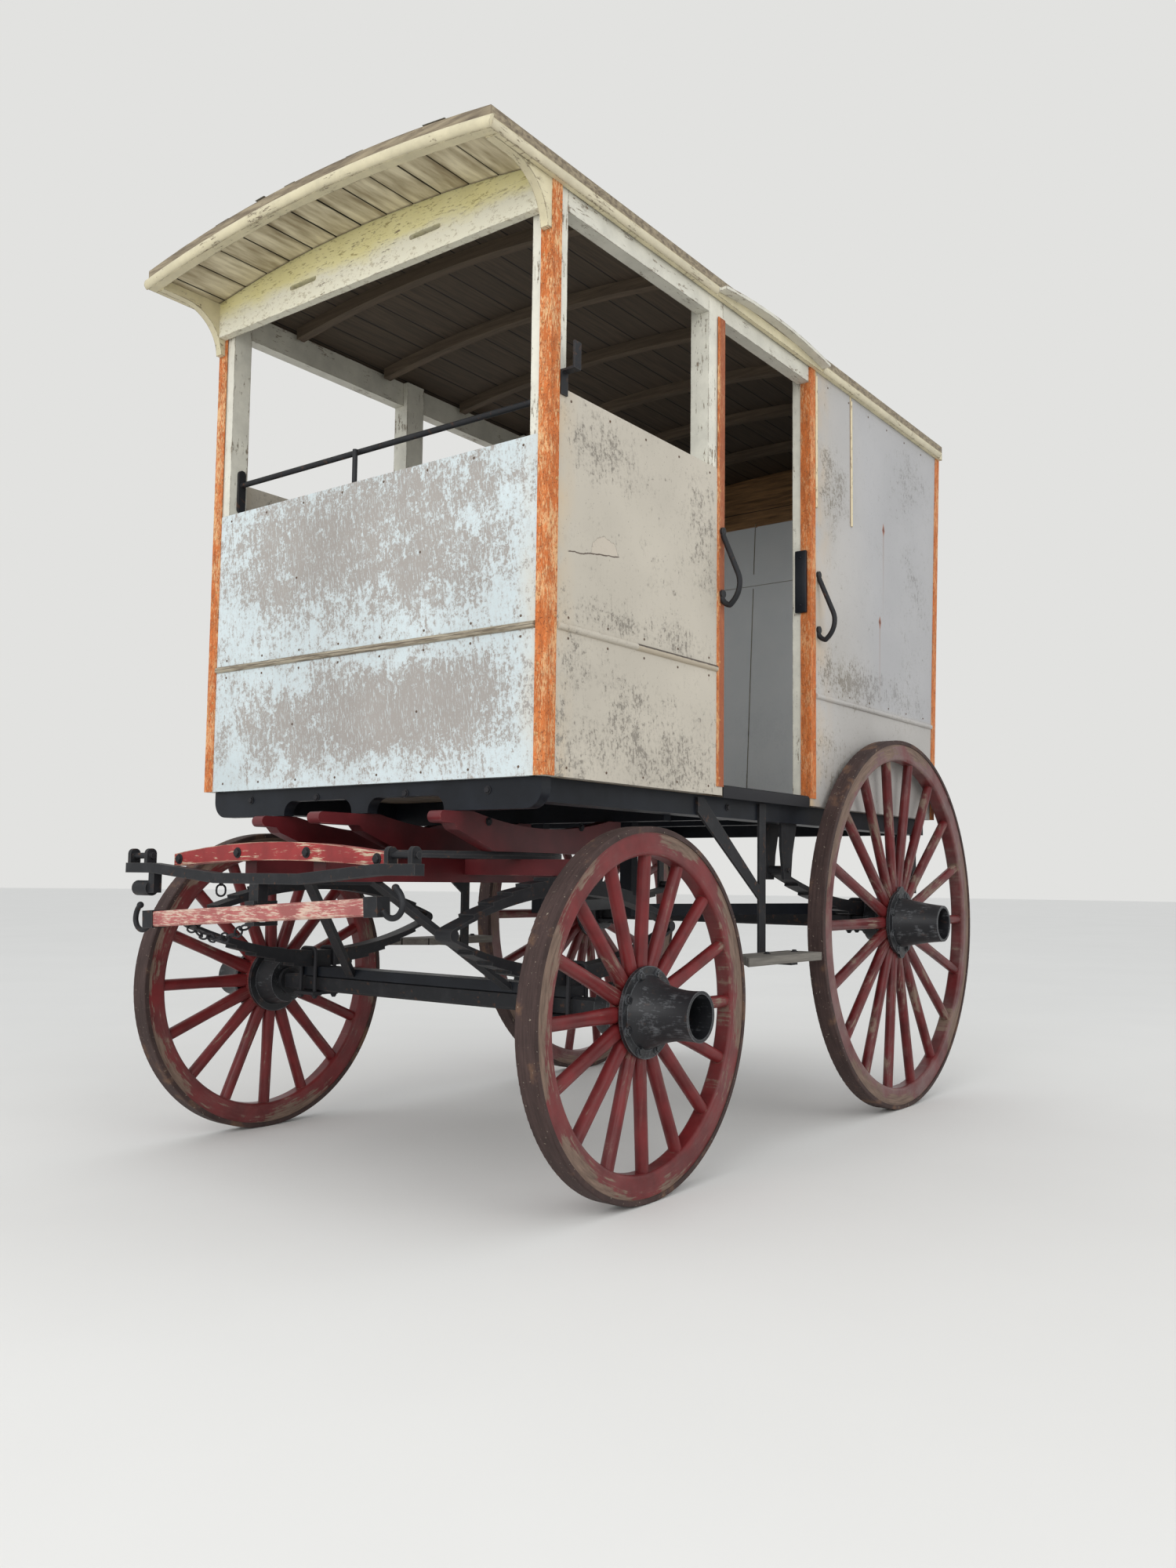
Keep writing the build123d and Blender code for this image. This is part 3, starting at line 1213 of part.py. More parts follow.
# Hook iron on the left front post: a strap that bends out and then up
hook_x = body_front - ANGLE_LEG - HOOK_IRON_WIDTH / 2
with BuildPart() as hook_iron:
    with BuildSketch(cross_plane(hook_x)):
        with BuildLine():
            face = BODY_HALF_WIDTH
            thick = HOOK_IRON_THICKNESS
            Polyline(
                (face, HOOK_IRON_BOTTOM_Z),
                (face + thick, HOOK_IRON_BOTTOM_Z),
                (face + thick, HOOK_IRON_BEND_Z - thick),
                (face + HOOK_IRON_REACH, HOOK_IRON_BEND_Z - thick),
                (face + HOOK_IRON_REACH, HOOK_IRON_TOP_Z),
                (face + HOOK_IRON_REACH - thick, HOOK_IRON_TOP_Z),
                (face + HOOK_IRON_REACH - thick, HOOK_IRON_BEND_Z),
                (face, HOOK_IRON_BEND_Z),
                close=True,
            )
        make_face()
    extrude(amount=HOOK_IRON_WIDTH / 2, both=True)
save(hook_iron.part, "hook_iron")

with BuildPart() as drip_visors:
    with BuildSketch(side_plane(ROOF_HALF_WIDTH)):
        with BuildLine():
            left, right = door_back - VISOR_OVERLAP, door_front + VISOR_OVERLAP
            base = EAVE_Z + VISOR_LIFT
            ThreePointArc((left, base), ((left + right) / 2, base + VISOR_RISE), (right, base))
            Line((right, base), (right, base + VISOR_THICKNESS))
            ThreePointArc(
                (right, base + VISOR_THICKNESS),
                ((left + right) / 2, base + VISOR_RISE + VISOR_THICKNESS),
                (left, base + VISOR_THICKNESS),
            )
            Line((left, base + VISOR_THICKNESS), (left, base))
        make_face()
    extrude(amount=-VISOR_REACH)
    mirror(about=Plane.XZ)
save(drip_visors.part, "drip_visors")


# Steps below the doorways

hanger_x = FRONT_X - HANGER_X
hanger_outer = STEP_INNER + HANGER_THICKNESS
step_bottom = STEP_TOP_Z - STEP_THICKNESS
with BuildPart() as step_hangers:
    with BuildSketch(side_plane(hanger_outer)):
        hanger_top = BODY_BOTTOM_Z - HANGER_TOP_DROP
        with Locations((hanger_x, (step_bottom - HANGER_THICKNESS + hanger_top) / 2)):
            Rectangle(HANGER_WIDTH, hanger_top - step_bottom + HANGER_THICKNESS)
        with BuildLine():
            brace_x = FRONT_X - BRACE_X
            Polyline(
                (hanger_x, BRACE_JOIN_Z - BRACE_WIDTH),
                (hanger_x, BRACE_JOIN_Z + BRACE_WIDTH / 3),
                (brace_x - BRACE_WIDTH, hanger_top),
                (brace_x, hanger_top),
                (brace_x, sill_bottom + HANGER_TOP_DROP),
                close=True,
            )
        make_face()
    extrude(amount=HANGER_THICKNESS)
    block(
        (hanger_x - HANGER_WIDTH / 2, hanger_x + HANGER_WIDTH / 2),
        (STEP_INNER, STEP_OUTER - 10.0),
        (step_bottom - HANGER_THICKNESS, step_bottom),
    )
    mirror(about=Plane.XZ)
save(step_hangers.part, "step_hangers")

# the front end of each step is cut round the sweep of the steered wheel
with BuildPart() as step_boards:
    block(
        (FRONT_X - STEP_BACK, FRONT_X - STEP_FRONT),
        (hanger_outer, STEP_OUTER),
        (step_bottom, STEP_TOP_Z),
    )
    with BuildSketch(Plane.XY.offset(step_bottom)):
        with Locations((FRONT_X, 0)):
            Circle(STEP_SWEEP_RADIUS)
    extrude(amount=STEP_THICKNESS, mode=Mode.SUBTRACT)
    mirror(about=Plane.XZ)
save(step_boards.part, "step_boards")


# Hanger irons at the front of the rear springs, shackles at the back, and the radius bars

(front_eye_x, front_eye_top), (rear_eye_x, rear_eye_top) = rear_eyes
with BuildPart() as spring_hangers:
    inner_cheek = LEAF_WIDTH / 2 + HANGER_CHEEK_GAP
    outer_cheek = inner_cheek + SHACKLE_THICKNESS
    for y_far in (REAR_SPRING_Y - inner_cheek, REAR_SPRING_Y + outer_cheek):
        with BuildSketch(side_plane(y_far)):
            with BuildLine():
                Polyline(
                    (front_eye_x + HANGER_IRON_LENGTH, sill_bottom),
                    (front_eye_x + HANGER_IRON_LENGTH, front_eye_top + 75.0),
                    (front_eye_x + 22.0, front_eye_top - 30.0),
                    (front_eye_x - 22.0, front_eye_top - 30.0),
                    (front_eye_x - 32.0, front_eye_top + 50.0),
                    (front_eye_x - 60.0, sill_bottom),
                    close=True,
                )
            make_face()
            with Locations((rear_eye_x, (rear_eye_top - 20.0 + sill_bottom) / 2)):
                Rectangle(SHACKLE_WIDTH, sill_bottom - rear_eye_top + 20.0)
        extrude(amount=SHACKLE_THICKNESS)
    for eye in rear_eyes:
        with BuildSketch(side_plane(REAR_SPRING_Y)):
            with Locations(eye):
                Circle(SPRING_BOLT_RADIUS - HANGER_CHEEK_GAP)
        extrude(amount=outer_cheek + 6.0, both=True)
    mirror(about=Plane.XZ)
save(spring_hangers.part, "spring_hangers")

bar_z = rear_axle_top
bar_start = (FRONT_X - BAR_CROSS_X, BAR_FRONT_Y)
bar_end = (REAR_X, BAR_REAR_Y)
with BuildPart() as radius_bars:
    run = (bar_end[0] - bar_start[0], bar_end[1] - bar_start[1])
    length = hypot(*run)
    heading = degrees(atan2(run[1], run[0]))
    middle = ((bar_start[0] + bar_end[0]) / 2, (bar_start[1] + bar_end[1]) / 2)
    with BuildSketch(Plane.XY.offset(bar_z)):
        with Locations(middle):
            Rectangle(length, BAR_THICKNESS, rotation=heading)
    extrude(amount=BAR_HEIGHT)
    block(
        (bar_start[0] - 17.0, bar_start[0] + 17.0),
        (BAR_FRONT_Y - 22.0, BAR_FRONT_Y + 22.0),
        (bar_z, sill_bottom),
    )
    mirror(about=Plane.XZ)
save(radius_bars.part, "radius_bars")
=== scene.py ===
"""Dresses the delivery wagon: its finishes, its bolts, clips, chains, treads and mouldings, and the stage."""

import math
import random

import bpy
from mathutils import Matrix, Vector


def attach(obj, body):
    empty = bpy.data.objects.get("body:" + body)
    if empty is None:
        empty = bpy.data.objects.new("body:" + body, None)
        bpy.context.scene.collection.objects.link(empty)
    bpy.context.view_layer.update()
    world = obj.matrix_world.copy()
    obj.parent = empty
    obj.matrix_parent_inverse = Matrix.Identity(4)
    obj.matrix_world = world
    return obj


bl_info = {
    "name": "Delivery wagon",
    "version": (1, 0),
    "blender": (4, 5, 0),
    "location": "3D View > Sidebar > Wagon",
    "description": "Finishes and small ironwork for a horse-drawn delivery wagon",
    "category": "Object",
}

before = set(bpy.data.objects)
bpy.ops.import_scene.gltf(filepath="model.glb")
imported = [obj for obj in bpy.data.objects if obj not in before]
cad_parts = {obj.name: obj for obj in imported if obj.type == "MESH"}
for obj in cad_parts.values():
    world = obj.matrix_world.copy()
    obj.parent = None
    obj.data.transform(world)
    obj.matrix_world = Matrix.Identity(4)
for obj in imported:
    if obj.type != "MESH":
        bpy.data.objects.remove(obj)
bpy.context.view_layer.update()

# Places on the wagon in metres: x forward, y to its left, z up from the ground
FRONT_X = 0.8065
REAR_X = -0.8015
FRONT_AXLE_Z = 0.452
REAR_AXLE_Z = 0.635
BODY_FRONT = 1.1115
BODY_SIDE = 0.640
FLOOR_TOP = 1.037
BELT_Z = 1.370
EAVE_Z = 2.447
DOOR_FRONT = 0.3155
DOOR_BACK = -0.2295
FRONT_SPRING_Y = 0.478
REAR_SPRING_Y = 0.548
DRAFT_FACE = 1.3765
ROOF_FRONT = 1.3545
ROOF_BACK = -1.3435
ROOF_SIDE = 0.655
ROOF_TOP = 2.5508
ROOF_CAMBER = 0.116
DECK_UNDER = 2.528
DECK_CAMBER = 0.1217
BOARD_PITCH = 0.0985
BOARD_LENGTH = 0.189
BOARD_MIDDLE = 1.2335
SIDES = (("left", 1), ("right", -1))
# Torn tongues along the roof's front edge: middle, length, depth and lift
FLAPS = (
    (-0.500, 0.150, 0.034, 0.0035),
    (-0.325, 0.170, 0.040, 0.0045),
    (-0.165, 0.110, 0.060, 0.0095),
    (-0.045, 0.120, 0.040, 0.0050),
    (0.200, 0.180, 0.036, 0.0040),
    (0.470, 0.220, 0.045, 0.0060),
)
FLAP_THICKNESS = 0.0012
# Worn patches of the sheets: height, half height, place across, half width and extra wear
FRONT_PATCHES = (
    (1.630, 0.300, -0.02, 0.78, 0.120),
    (1.770, 0.130, 0.04, 0.62, 0.100),
    (1.620, 0.170, -0.24, 0.34, 0.060),
    (1.540, 0.120, 0.30, 0.28, 0.070),
    (1.200, 0.210, 0.02, 0.80, 0.135),
    (1.190, 0.150, 0.16, 0.50, 0.130),
)
SIDE_FRONT_PATCHES = (
    (1.080, 0.130, 0.66, 0.70, 0.150),
    (1.420, 0.065, 0.70, 0.50, 0.130),
    (1.850, 0.130, 0.86, 0.20, 0.140),
    (1.720, 0.220, 0.43, 0.12, 0.120),
    (1.250, 0.120, 1.02, 0.09, 0.130),
    (1.240, 0.120, 0.76, 0.12, 0.110),
)
SIDE_REAR_PATCHES = (
    (1.450, 0.110, -0.62, 0.56, 0.185),
    (2.080, 0.180, -0.40, 0.16, 0.165),
    (1.160, 0.150, -0.42, 0.24, 0.120),
    (1.750, 0.500, -1.08, 0.16, 0.085),
    (2.260, 0.170, -1.04, 0.24, 0.135),
)
REAR_WALL_PATCHES = (
    (1.420, 0.150, 0.06, 0.96, 0.165),
    (1.140, 0.140, -0.16, 0.70, 0.140),
    (2.020, 0.240, 0.34, 0.34, 0.130),
    (1.860, 0.200, -0.42, 0.22, 0.115),
)


def paint(red, green, blue):
    """Scene-linear colour of a tone given in screen steps, 0 to 255."""
    steps = (red / 255, green / 255, blue / 255)
    return tuple(c / 12.92 if c <= 0.04045 else ((c + 0.055) / 1.055) ** 2.4 for c in steps)


def darker(colour, share):
    """A colour at a share of its light."""
    return tuple(part * share for part in colour[:3])


def opaque(colour):
    """A colour with its fourth, solid part, as the colour sockets take it."""
    return (*colour[:3], 1.0)


def colour_property(name, description, tone):
    """A colour that the user picks."""
    return bpy.props.FloatVectorProperty(
        name=name, description=description, subtype="COLOR", size=3, min=0.0, max=1.0, default=paint(*tone)
    )


def length_property(name, description, metres):
    """A small length that the user sets."""
    return bpy.props.FloatProperty(
        name=name, description=description, subtype="DISTANCE", unit="LENGTH", min=0.0005, default=metres
    )


class WagonColours(bpy.types.PropertyGroup):
    """Colours of the wagon's paints, woods and irons."""

    sheet_white: colour_property("Front sheet", "White paint on the front sheets", (206, 217, 219))
    sheet_grey: colour_property("Worn sheet", "Grey primer where the white has worn off", (163, 157, 151))
    side_cream: colour_property("Side sheet", "Aged white paint on the side sheets", (195, 187, 172))
    frame_white: colour_property("Frame paint", "White paint on posts, roof edge and header", (222, 219, 205))
    bare_frame: colour_property("Bare frame", "Grey wood under flaked frame paint", (128, 112, 92))
    rust: colour_property("Rust", "Rust of the corner irons", (206, 112, 50))
    wheel_red: colour_property("Wheel red", "Red paint on the wheels", (114, 34, 36))
    wheel_wood: colour_property("Wheel wood", "Bare wood where wheels are worn", (128, 106, 92))
    gear_red: colour_property("Gear red", "Dark red paint of the front gear", (98, 27, 32))
    bar_red: colour_property("Bar red", "Faded red of the draft bar and the singletree", (164, 48, 48))
    tyre_iron: colour_property("Tyre iron", "Worn iron of the tyres", (80, 63, 60))
    iron_black: colour_property("Black iron", "Black paint on forged irons", (34, 35, 38))
    timber_black: colour_property("Black timber", "Black paint on the underframe", (27, 31, 38))
    boards: colour_property("Boards", "Bare boards of roof, floor and steps", (120, 103, 84))
    canvas: colour_property("Canvas", "Painted roof canvas", (150, 146, 136))


class WagonSizes(bpy.types.PropertyGroup):
    """Sizes of the small ironwork."""

    bolt_radius: length_property("Bolt head", "Radius of the bolt heads", 0.010)
    nail_radius: length_property("Nail head", "Radius of the nail and screw heads", 0.0035)
    chain_wire: length_property("Chain wire", "Radius of the wire of the chain links", 0.0026)
    link_length: length_property("Chain link", "Length of a chain link", 0.034)
    clip_rod: length_property("Clip rod", "Radius of the spring clips' rod", 0.006)
    rib_pitch: length_property("Tread rib pitch", "Distance between the ribs of the doorway treads", 0.011)


class Value:
    """One value in a finish; sums, differences, products and quotients of it add Math nodes."""

    def __init__(self, nodes, socket):
        self.nodes = nodes
        self.socket = socket

    def __add__(self, other):
        return self.nodes.math("ADD", self, other)

    def __sub__(self, other):
        return self.nodes.math("SUBTRACT", self, other)

    def __rsub__(self, other):
        return self.nodes.math("SUBTRACT", other, self)

    def __mul__(self, other):
        return self.nodes.math("MULTIPLY", self, other)

    def __truediv__(self, other):
        return self.nodes.math("DIVIDE", self, other)

    def __abs__(self):
        return self.nodes.math("ABSOLUTE", self)

    __radd__ = __add__
    __rmul__ = __mul__


class Nodes:
    """The nodes of a material or of the world, made anew."""

    def __init__(self, owner):
        owner.use_nodes = True
        self.tree = owner.node_tree
        self.tree.nodes.clear()

    def node(self, kind, values=(), output=0, **settings):
        """Add a node, set it, then fill or link its sockets."""
        made = self.tree.nodes.new(kind)
        for key, setting in settings.items():
            setattr(made, key, setting)
        pairs = values.items() if isinstance(values, dict) else enumerate(values)
        for key, value in pairs:
            if isinstance(value, Value):
                self.tree.links.new(value.socket, made.inputs[key])
            else:
                made.inputs[key].default_value = value
        return Value(self, made.outputs[output] if made.outputs else None)

    def math(self, operation, *values):
        return self.node("ShaderNodeMath", values, operation=operation)


class Finish(Nodes):
    """A material built on object coordinates, in metres."""

    def __init__(self, name, roughness=0.6, metallic=0.0, shine=0.5):
        self.material = bpy.data.materials.new(name)
        super().__init__(self.material)
        sockets = {"Roughness": roughness, "Metallic": metallic, "Specular IOR Level": shine}
        surface = self.node("ShaderNodeBsdfPrincipled", sockets)
        self.node("ShaderNodeOutputMaterial", [surface])
        self.shader = surface.socket.node
        self.coordinates = self.node("ShaderNodeTexCoord", output="Object")
        self.x, self.y, self.z = self.parts(self.coordinates)

    def parts(self, vector):
        """The three parts of a vector, from one node."""
        split = self.node("ShaderNodeSeparateXYZ", [vector])
        return [Value(self, socket) for socket in split.socket.node.outputs]

    def vector(self, *parts):
        return self.node("ShaderNodeCombineXYZ", parts)

    def placed(self, size, centre=(0.0, 0.0, 0.0), turn=(0.0, 0.0, 0.0)):
        """Object coordinates counted from a centre in steps of a size."""
        steps = size if isinstance(size, tuple) else (size, size, size)
        sockets = {"Vector": self.coordinates, "Location": centre, "Rotation": turn, "Scale": steps}
        return self.node("ShaderNodeMapping", sockets, vector_type="TEXTURE")

    def noise(self, vector, detail=3.0, fray=0.55, warp=0.0):
        sockets = {"Vector": vector, "Scale": 1.0, "Detail": detail, "Roughness": fray, "Distortion": warp}
        return self.node("ShaderNodeTexNoise", sockets)

    def cloud(self, size, seed, detail=3.0, fray=0.55, warp=0.0, turn=(0.0, 0.0, 0.0)):
        """Noise with blotches of about that size in metres along x, y and z; the seed moves it."""
        shift = (seed * 7.31, seed * 3.17, seed * 5.73)
        return self.noise(self.placed(size, shift, turn), detail, fray, warp)

    def step(self, value, low, high):
        """0 up to low, 1 from high on, straight between."""
        return self.node("ShaderNodeMapRange", {0: value, 1: low, 2: high}, clamp=True)

    def spots(self, size, seed, low, high, *detail):
        """Places where a cloud is high: 0 up to low, 1 from high on."""
        return self.step(self.cloud(size, seed, *detail), low, high)

    def band(self, value, middle, half, soft):
        """1 within half of the middle, 0 beyond the soft edge."""
        return self.step(abs(value - middle), half + soft, half)

    def mix(self, share, first, second):
        """A colour between two others."""
        sockets = {0: share, 6: first, 7: second}
        sockets = {k: opaque(v) if isinstance(v, tuple) else v for k, v in sockets.items()}
        return self.node("ShaderNodeMix", sockets, 2, data_type="RGBA")

    def layers(self, colour, *coats):
        """Coats laid over a colour in turn, each after the mask of where it lies."""
        for mask, coat in coats:
            colour = self.mix(mask, colour, coat)
        return colour

    def edges(self, radius):
        """1 along the outer corners of the form, 0 on its flats."""
        rounded = self.node("ShaderNodeBevel", {"Radius": radius}, samples=4)
        flat = self.node("ShaderNodeNewGeometry", output="Normal")
        same = self.node("ShaderNodeVectorMath", [rounded, flat], "Value", operation="DOT_PRODUCT")
        return self.step(same, 0.995, 0.80)

    def close(self, colour, roughness=None, relief=None, depth=0.001):
        """Link colour, roughness and relief to the shader."""
        ends = {"Base Color": colour}
        if roughness is not None:
            ends["Roughness"] = roughness
        if relief is not None:
            sockets = {"Strength": 0.6, "Distance": depth, "Height": relief}
            ends["Normal"] = self.node("ShaderNodeBump", sockets)
        for name, value in ends.items():
            self.tree.links.new(value.socket, self.shader.inputs[name])
        return self.material


def worn_sheet(name, white, grey, across, patches, wear, stain, marks):
    """Brushed white paint over grey sheet, worn through in fuzzy patches, streaks and flecks.

    across is true where the sheet's width runs along y and false where it runs along x. stain is
    where across the rust beside an iron starts and ends. marks adds what only this sheet shows.
    """
    f = Finish(name)
    side = f.y if across else f.x
    lean = (0.16, 0.0, 0.0) if across else (0.0, 0.16, 0.0)

    def streaks(width, height, *detail):
        return f.cloud((1.0, width, height) if across else (width, 1.0, height), *detail, turn=lean)

    fleck = f.cloud(0.011, 3, 5.0, 0.78)
    amount = f.cloud(0.17, 1, 6.0, 0.66, 0.6) * 0.50 + streaks(0.0075, 0.040, 2, 5.0, 0.72) * 0.50
    amount = amount + fleck * 0.86 + f.cloud(0.045, 4, 4.0, 0.7) * 0.40
    for height, half_height, place, half_width, worn in patches:
        tall = f.step(abs(f.z - height), half_height, half_height * 0.25)
        wide = f.step(abs(side - place), half_width, half_width * 0.35)
        amount = amount + tall * wide * worn
    bare = f.step(amount, wear, wear + 0.040)
    thin = f.step(amount, wear - 0.12, wear)
    scratch = f.step(streaks(0.0032, 0.022, 5, 3.0, 0.7), 0.565, 0.63)
    pit = f.spots(0.006, 7, 0.70, 0.75, 2.0)
    tone = f.spots(0.36, 8, 0.34, 0.66)
    beside_iron = f.step(side, *stain) * f.spots((0.09, 0.09, 0.16), 9, 0.36, 0.66, 4.0)
    coat = f.layers(
        f.mix(tone, white, darker(white, 0.86)),
        (thin * 0.38, darker(grey, 1.15)),
        (pit * 0.6, darker(grey, 0.55)),
        (beside_iron * 0.62, paint(208, 172, 118)),
    )
    under = f.mix(scratch * 0.68, f.mix(tone, grey, darker(grey, 0.86)), darker(white, 0.92))
    colour = marks(f, f.mix(bare, coat, under))
    relief = f.cloud(0.26, 11, 1.0) * 3.0 - bare * 0.25 - pit * 0.4
    return f.close(colour, 0.44 + bare * 0.14 + fleck * 0.12, relief, 0.0016)


def on_belt(f):
    """The belt moulding between the lower and the upper sheet."""
    return f.band(f.z, BELT_Z, 0.0085, 0.0015)


def front_belt_mark(f, colour):
    """The front moulding is worn to brown wood with a dark crack along it."""
    grain = f.cloud((1.0, 0.09, 0.004), 31, 4.0, 0.65)
    wood = f.mix(f.step(grain, 0.40, 0.60), paint(112, 100, 82), paint(172, 162, 142))
    crack = f.band(f.z + grain * 0.004, BELT_Z + 0.002, 0.0006, 0.0008)
    return f.mix(on_belt(f), colour, f.mix(crack * 0.75, wood, paint(66, 56, 46)))


def side_front_marks(f, colour):
    """A torn place and, along the rear half of the moulding, a painted shadow above a pale lower edge where
    it broke off, on the left side alone.
    """
    left = f.step(f.y, -0.1, 0.1)
    # Painted shadow: the moulding's rear half is still there, but its upper part is painted dark as the
    # shaded gap left where it broke off.
    upper = f.step(f.z + f.cloud(0.02, 32) * 0.004, BELT_Z + 0.0035, BELT_Z + 0.0055)
    shadow = f.mix(upper, paint(176, 164, 144), paint(66, 57, 49))
    tear_line = f.z - 1.5705 + (f.x - 0.930) * 0.148 + f.cloud(0.03, 33) * 0.010
    tear = f.band(tear_line, 0.005, 0.0010, 0.0012) * f.band(f.x, 0.930, 0.100, 0.008)
    gap_x = (f.x - 0.885) / 0.058
    gap_z = (f.z - 1.580) / 0.042
    lobe = gap_x * gap_x + gap_z * gap_z + f.cloud(0.035, 34, 5.0, 0.7) * 1.5
    above = f.step(tear_line, 0.004, 0.006)
    rim = f.band(lobe, 1.73, 0.02, 0.04) * above
    return f.layers(
        colour,
        (on_belt(f) * left * f.step(f.x, 0.747, 0.744), shadow),
        (f.step(lobe, 1.75, 1.70) * above * left * 0.28, paint(206, 190, 172)),
        (left * f.step(tear + rim * 0.40, 0.0, 1.0), paint(84, 70, 60)),
    )


def side_rear_marks(f, colour):
    """Cooler towards the rear, cream strips, and two rusty diamonds with runs on the left side alone."""
    left = f.step(f.y, -0.1, 0.1)
    cool = f.step(f.x - f.z * 0.16, -0.70, -1.02) * f.step(f.z, BELT_Z, BELT_Z + 0.02)
    colour = f.mix(cool * 0.34, colour, paint(160, 165, 176))
    low_end = f.step(f.z, 1.9885, 1.9895)
    chips = f.spots((0.006, 0.006, 0.030), 38, 0.56, 0.62, 5.0, 0.7)
    cream = f.mix(chips, paint(212, 198, 164), paint(128, 108, 86))
    for along in (-0.5365, -0.2715):
        colour = f.layers(
            colour,
            (f.band(f.x, along, 0.0068, 0.0010) * low_end, paint(122, 102, 80)),
            (f.band(f.x, along, 0.0052, 0.0008) * low_end, cream),
        )
    for along, height in ((-0.8065, 2.039), (-0.7710, 1.697)):
        shape = abs(f.x - along) / 0.012 + abs(f.z - height) / 0.027 + f.cloud(0.012, 35) * 0.5
        run = f.band(f.x + f.z * 0.02, along + height * 0.02, 0.002, 0.005)
        run = run * f.step(f.z, height, height - 0.02) * f.step(f.z, height - 0.34, height - 0.02)
        colour = f.layers(
            colour,
            (f.step(shape, 1.30, 1.0) * left, paint(150, 94, 70)),
            (f.step(shape, 0.85, 0.55) * left, paint(84, 46, 36)),
            (run * left * 0.40, paint(140, 104, 84)),
        )
    return colour


def rear_wall_marks(f, colour):
    """Inside, the sheets lightened to near-white, partly their paler paint and partly painted light where
    little light reaches them, and bare brown boards above the sheets.
    """
    inside = f.step(f.parts(f.node("ShaderNodeNewGeometry", output="Normal"))[0], 0.5, 0.8)
    # Painted light: the inside sheets are lightened to near-white to stand for light that the interior does
    # not get.
    white = f.mix(f.cloud(0.12, 37), paint(226, 233, 236), paint(240, 243, 244))
    grain = f.spots((1.0, 0.16, 0.010), 36, 0.36, 0.64, 5.0, 0.65)
    wood = f.mix(grain, paint(106, 78, 50), paint(168, 128, 86))
    wood = f.mix(f.band(f.z, 2.372, 0.001, 0.0015), wood, paint(34, 24, 18))
    return f.layers(colour, (inside * 0.9, white), (inside * f.step(f.z, 2.300, 2.303), wood))


def along_grain(grain, fine, long):
    """Blotch sizes for a grain that runs along x, y or z."""
    return tuple(long if axis == grain else fine for axis in "xyz")


def flaking_paint(name, grain, white, bare_wood, wear=0.708, tint=None):
    """White paint flaking off timber whose grain runs along x, y or z."""
    f = Finish(name)
    long_fleck = f.cloud(along_grain(grain, 0.008, 0.050), 1, 6.0, 0.74)
    amount = long_fleck * 0.66 + f.cloud(0.12, 2, 5.0, 0.65) * 0.44 + f.cloud(0.006, 4, 3.0, 0.7) * 0.16
    bare = f.step(amount + f.edges(0.005) * 0.13, wear, wear + 0.035)
    coat = f.mix(f.spots(0.07, 3, 0.38, 0.70, 5.0, 0.65) * 0.55, white, darker(white, 0.66))
    if tint:
        coat = tint(f, coat)
    wood = f.mix(f.step(long_fleck, 0.35, 0.65), darker(bare_wood, 0.52), bare_wood)
    return f.close(f.mix(bare * 0.92, coat, wood), 0.52 + bare * 0.25, long_fleck * 0.5 - bare, 0.0012)


def green_upper_half(f, _coat):
    """The header's paint is pale and flecked, and its upper half has turned a dull yellow green."""
    height = f.z - 2.442 + f.cloud((0.12, 0.12, 0.05), 21, 4.0) * 0.07
    fleck = f.spots((0.05, 0.026, 0.0055), 22, 0.555, 0.615, 6.0, 0.72)
    green = f.mix(f.cloud(0.10, 24), paint(222, 212, 148), paint(238, 231, 182))
    green = f.mix(fleck * 0.75, green, paint(146, 128, 78))
    chips = f.spots((0.02, 0.016, 0.009), 25, 0.54, 0.62, 5.0, 0.72)
    pale = f.mix(chips * 0.6, paint(226, 222, 202), paint(168, 156, 128))
    return f.mix(f.step(height, 0.010, 0.050), pale, green)


def plank_behind_cornice(f, coat):
    """The plank above the mouldings is bare and grey brown."""
    grain = f.spots((0.02, 0.11, 0.01), 23, 0.36, 0.64, 5.0, 0.65)
    grey = f.mix(grain, paint(100, 87, 70), paint(156, 142, 116))
    return f.mix(f.step(f.z + f.y * f.y * ROOF_CAMBER, 2.5240, 2.5265), coat, grey)


def rusty_angle(name, rust):
    """Orange rust with remains of pale paint in upright flecks, redder beside the doorway."""
    f = Finish(name, roughness=0.8)
    streak = f.cloud((0.0042, 0.0042, 0.016), 1, 6.0, 0.74)
    blotch = f.cloud((0.05, 0.05, 0.13), 2, 5.0, 0.65)
    pale = f.step(streak * 0.70 + blotch * 0.50, 0.595, 0.690)
    pit = f.spots(0.0055, 3, 0.56, 0.66, 4.0, 0.7)
    at_jamb = f.step(f.x, 0.345, 0.335) * f.step(f.x, 0.2, 0.3)
    low = f.step(f.z, 1.9, 1.2) * 0.35 + f.step(f.x, 0.0, -0.1) * 0.5
    colour = f.layers(
        f.mix(f.spots((0.012, 0.012, 0.05), 4, 0.34, 0.64, 5.0, 0.7), darker(rust, 0.58), rust),
        (f.spots((0.01, 0.01, 0.08), 6, 0.55, 0.68, 4.0) * 0.5, paint(214, 142, 84)),
        (pit * 0.7, paint(98, 50, 28)),
        (at_jamb * 0.75, paint(140, 78, 54)),
        (pale * (0.76 - at_jamb * 0.60 - low * 0.5), paint(230, 194, 144)),
    )
    return f.close(colour, 0.66 + streak * 0.3, streak + pit * -0.8, 0.0014)


def about_hub(f, centre):
    """Directions across and up from a wheel's middle, the distance from it and the place along its axle."""
    x, y, z = f.parts(f.placed(1.0, centre))
    reach = f.math("SQRT", x * x + z * z)
    return x / reach, z / reach, reach, y


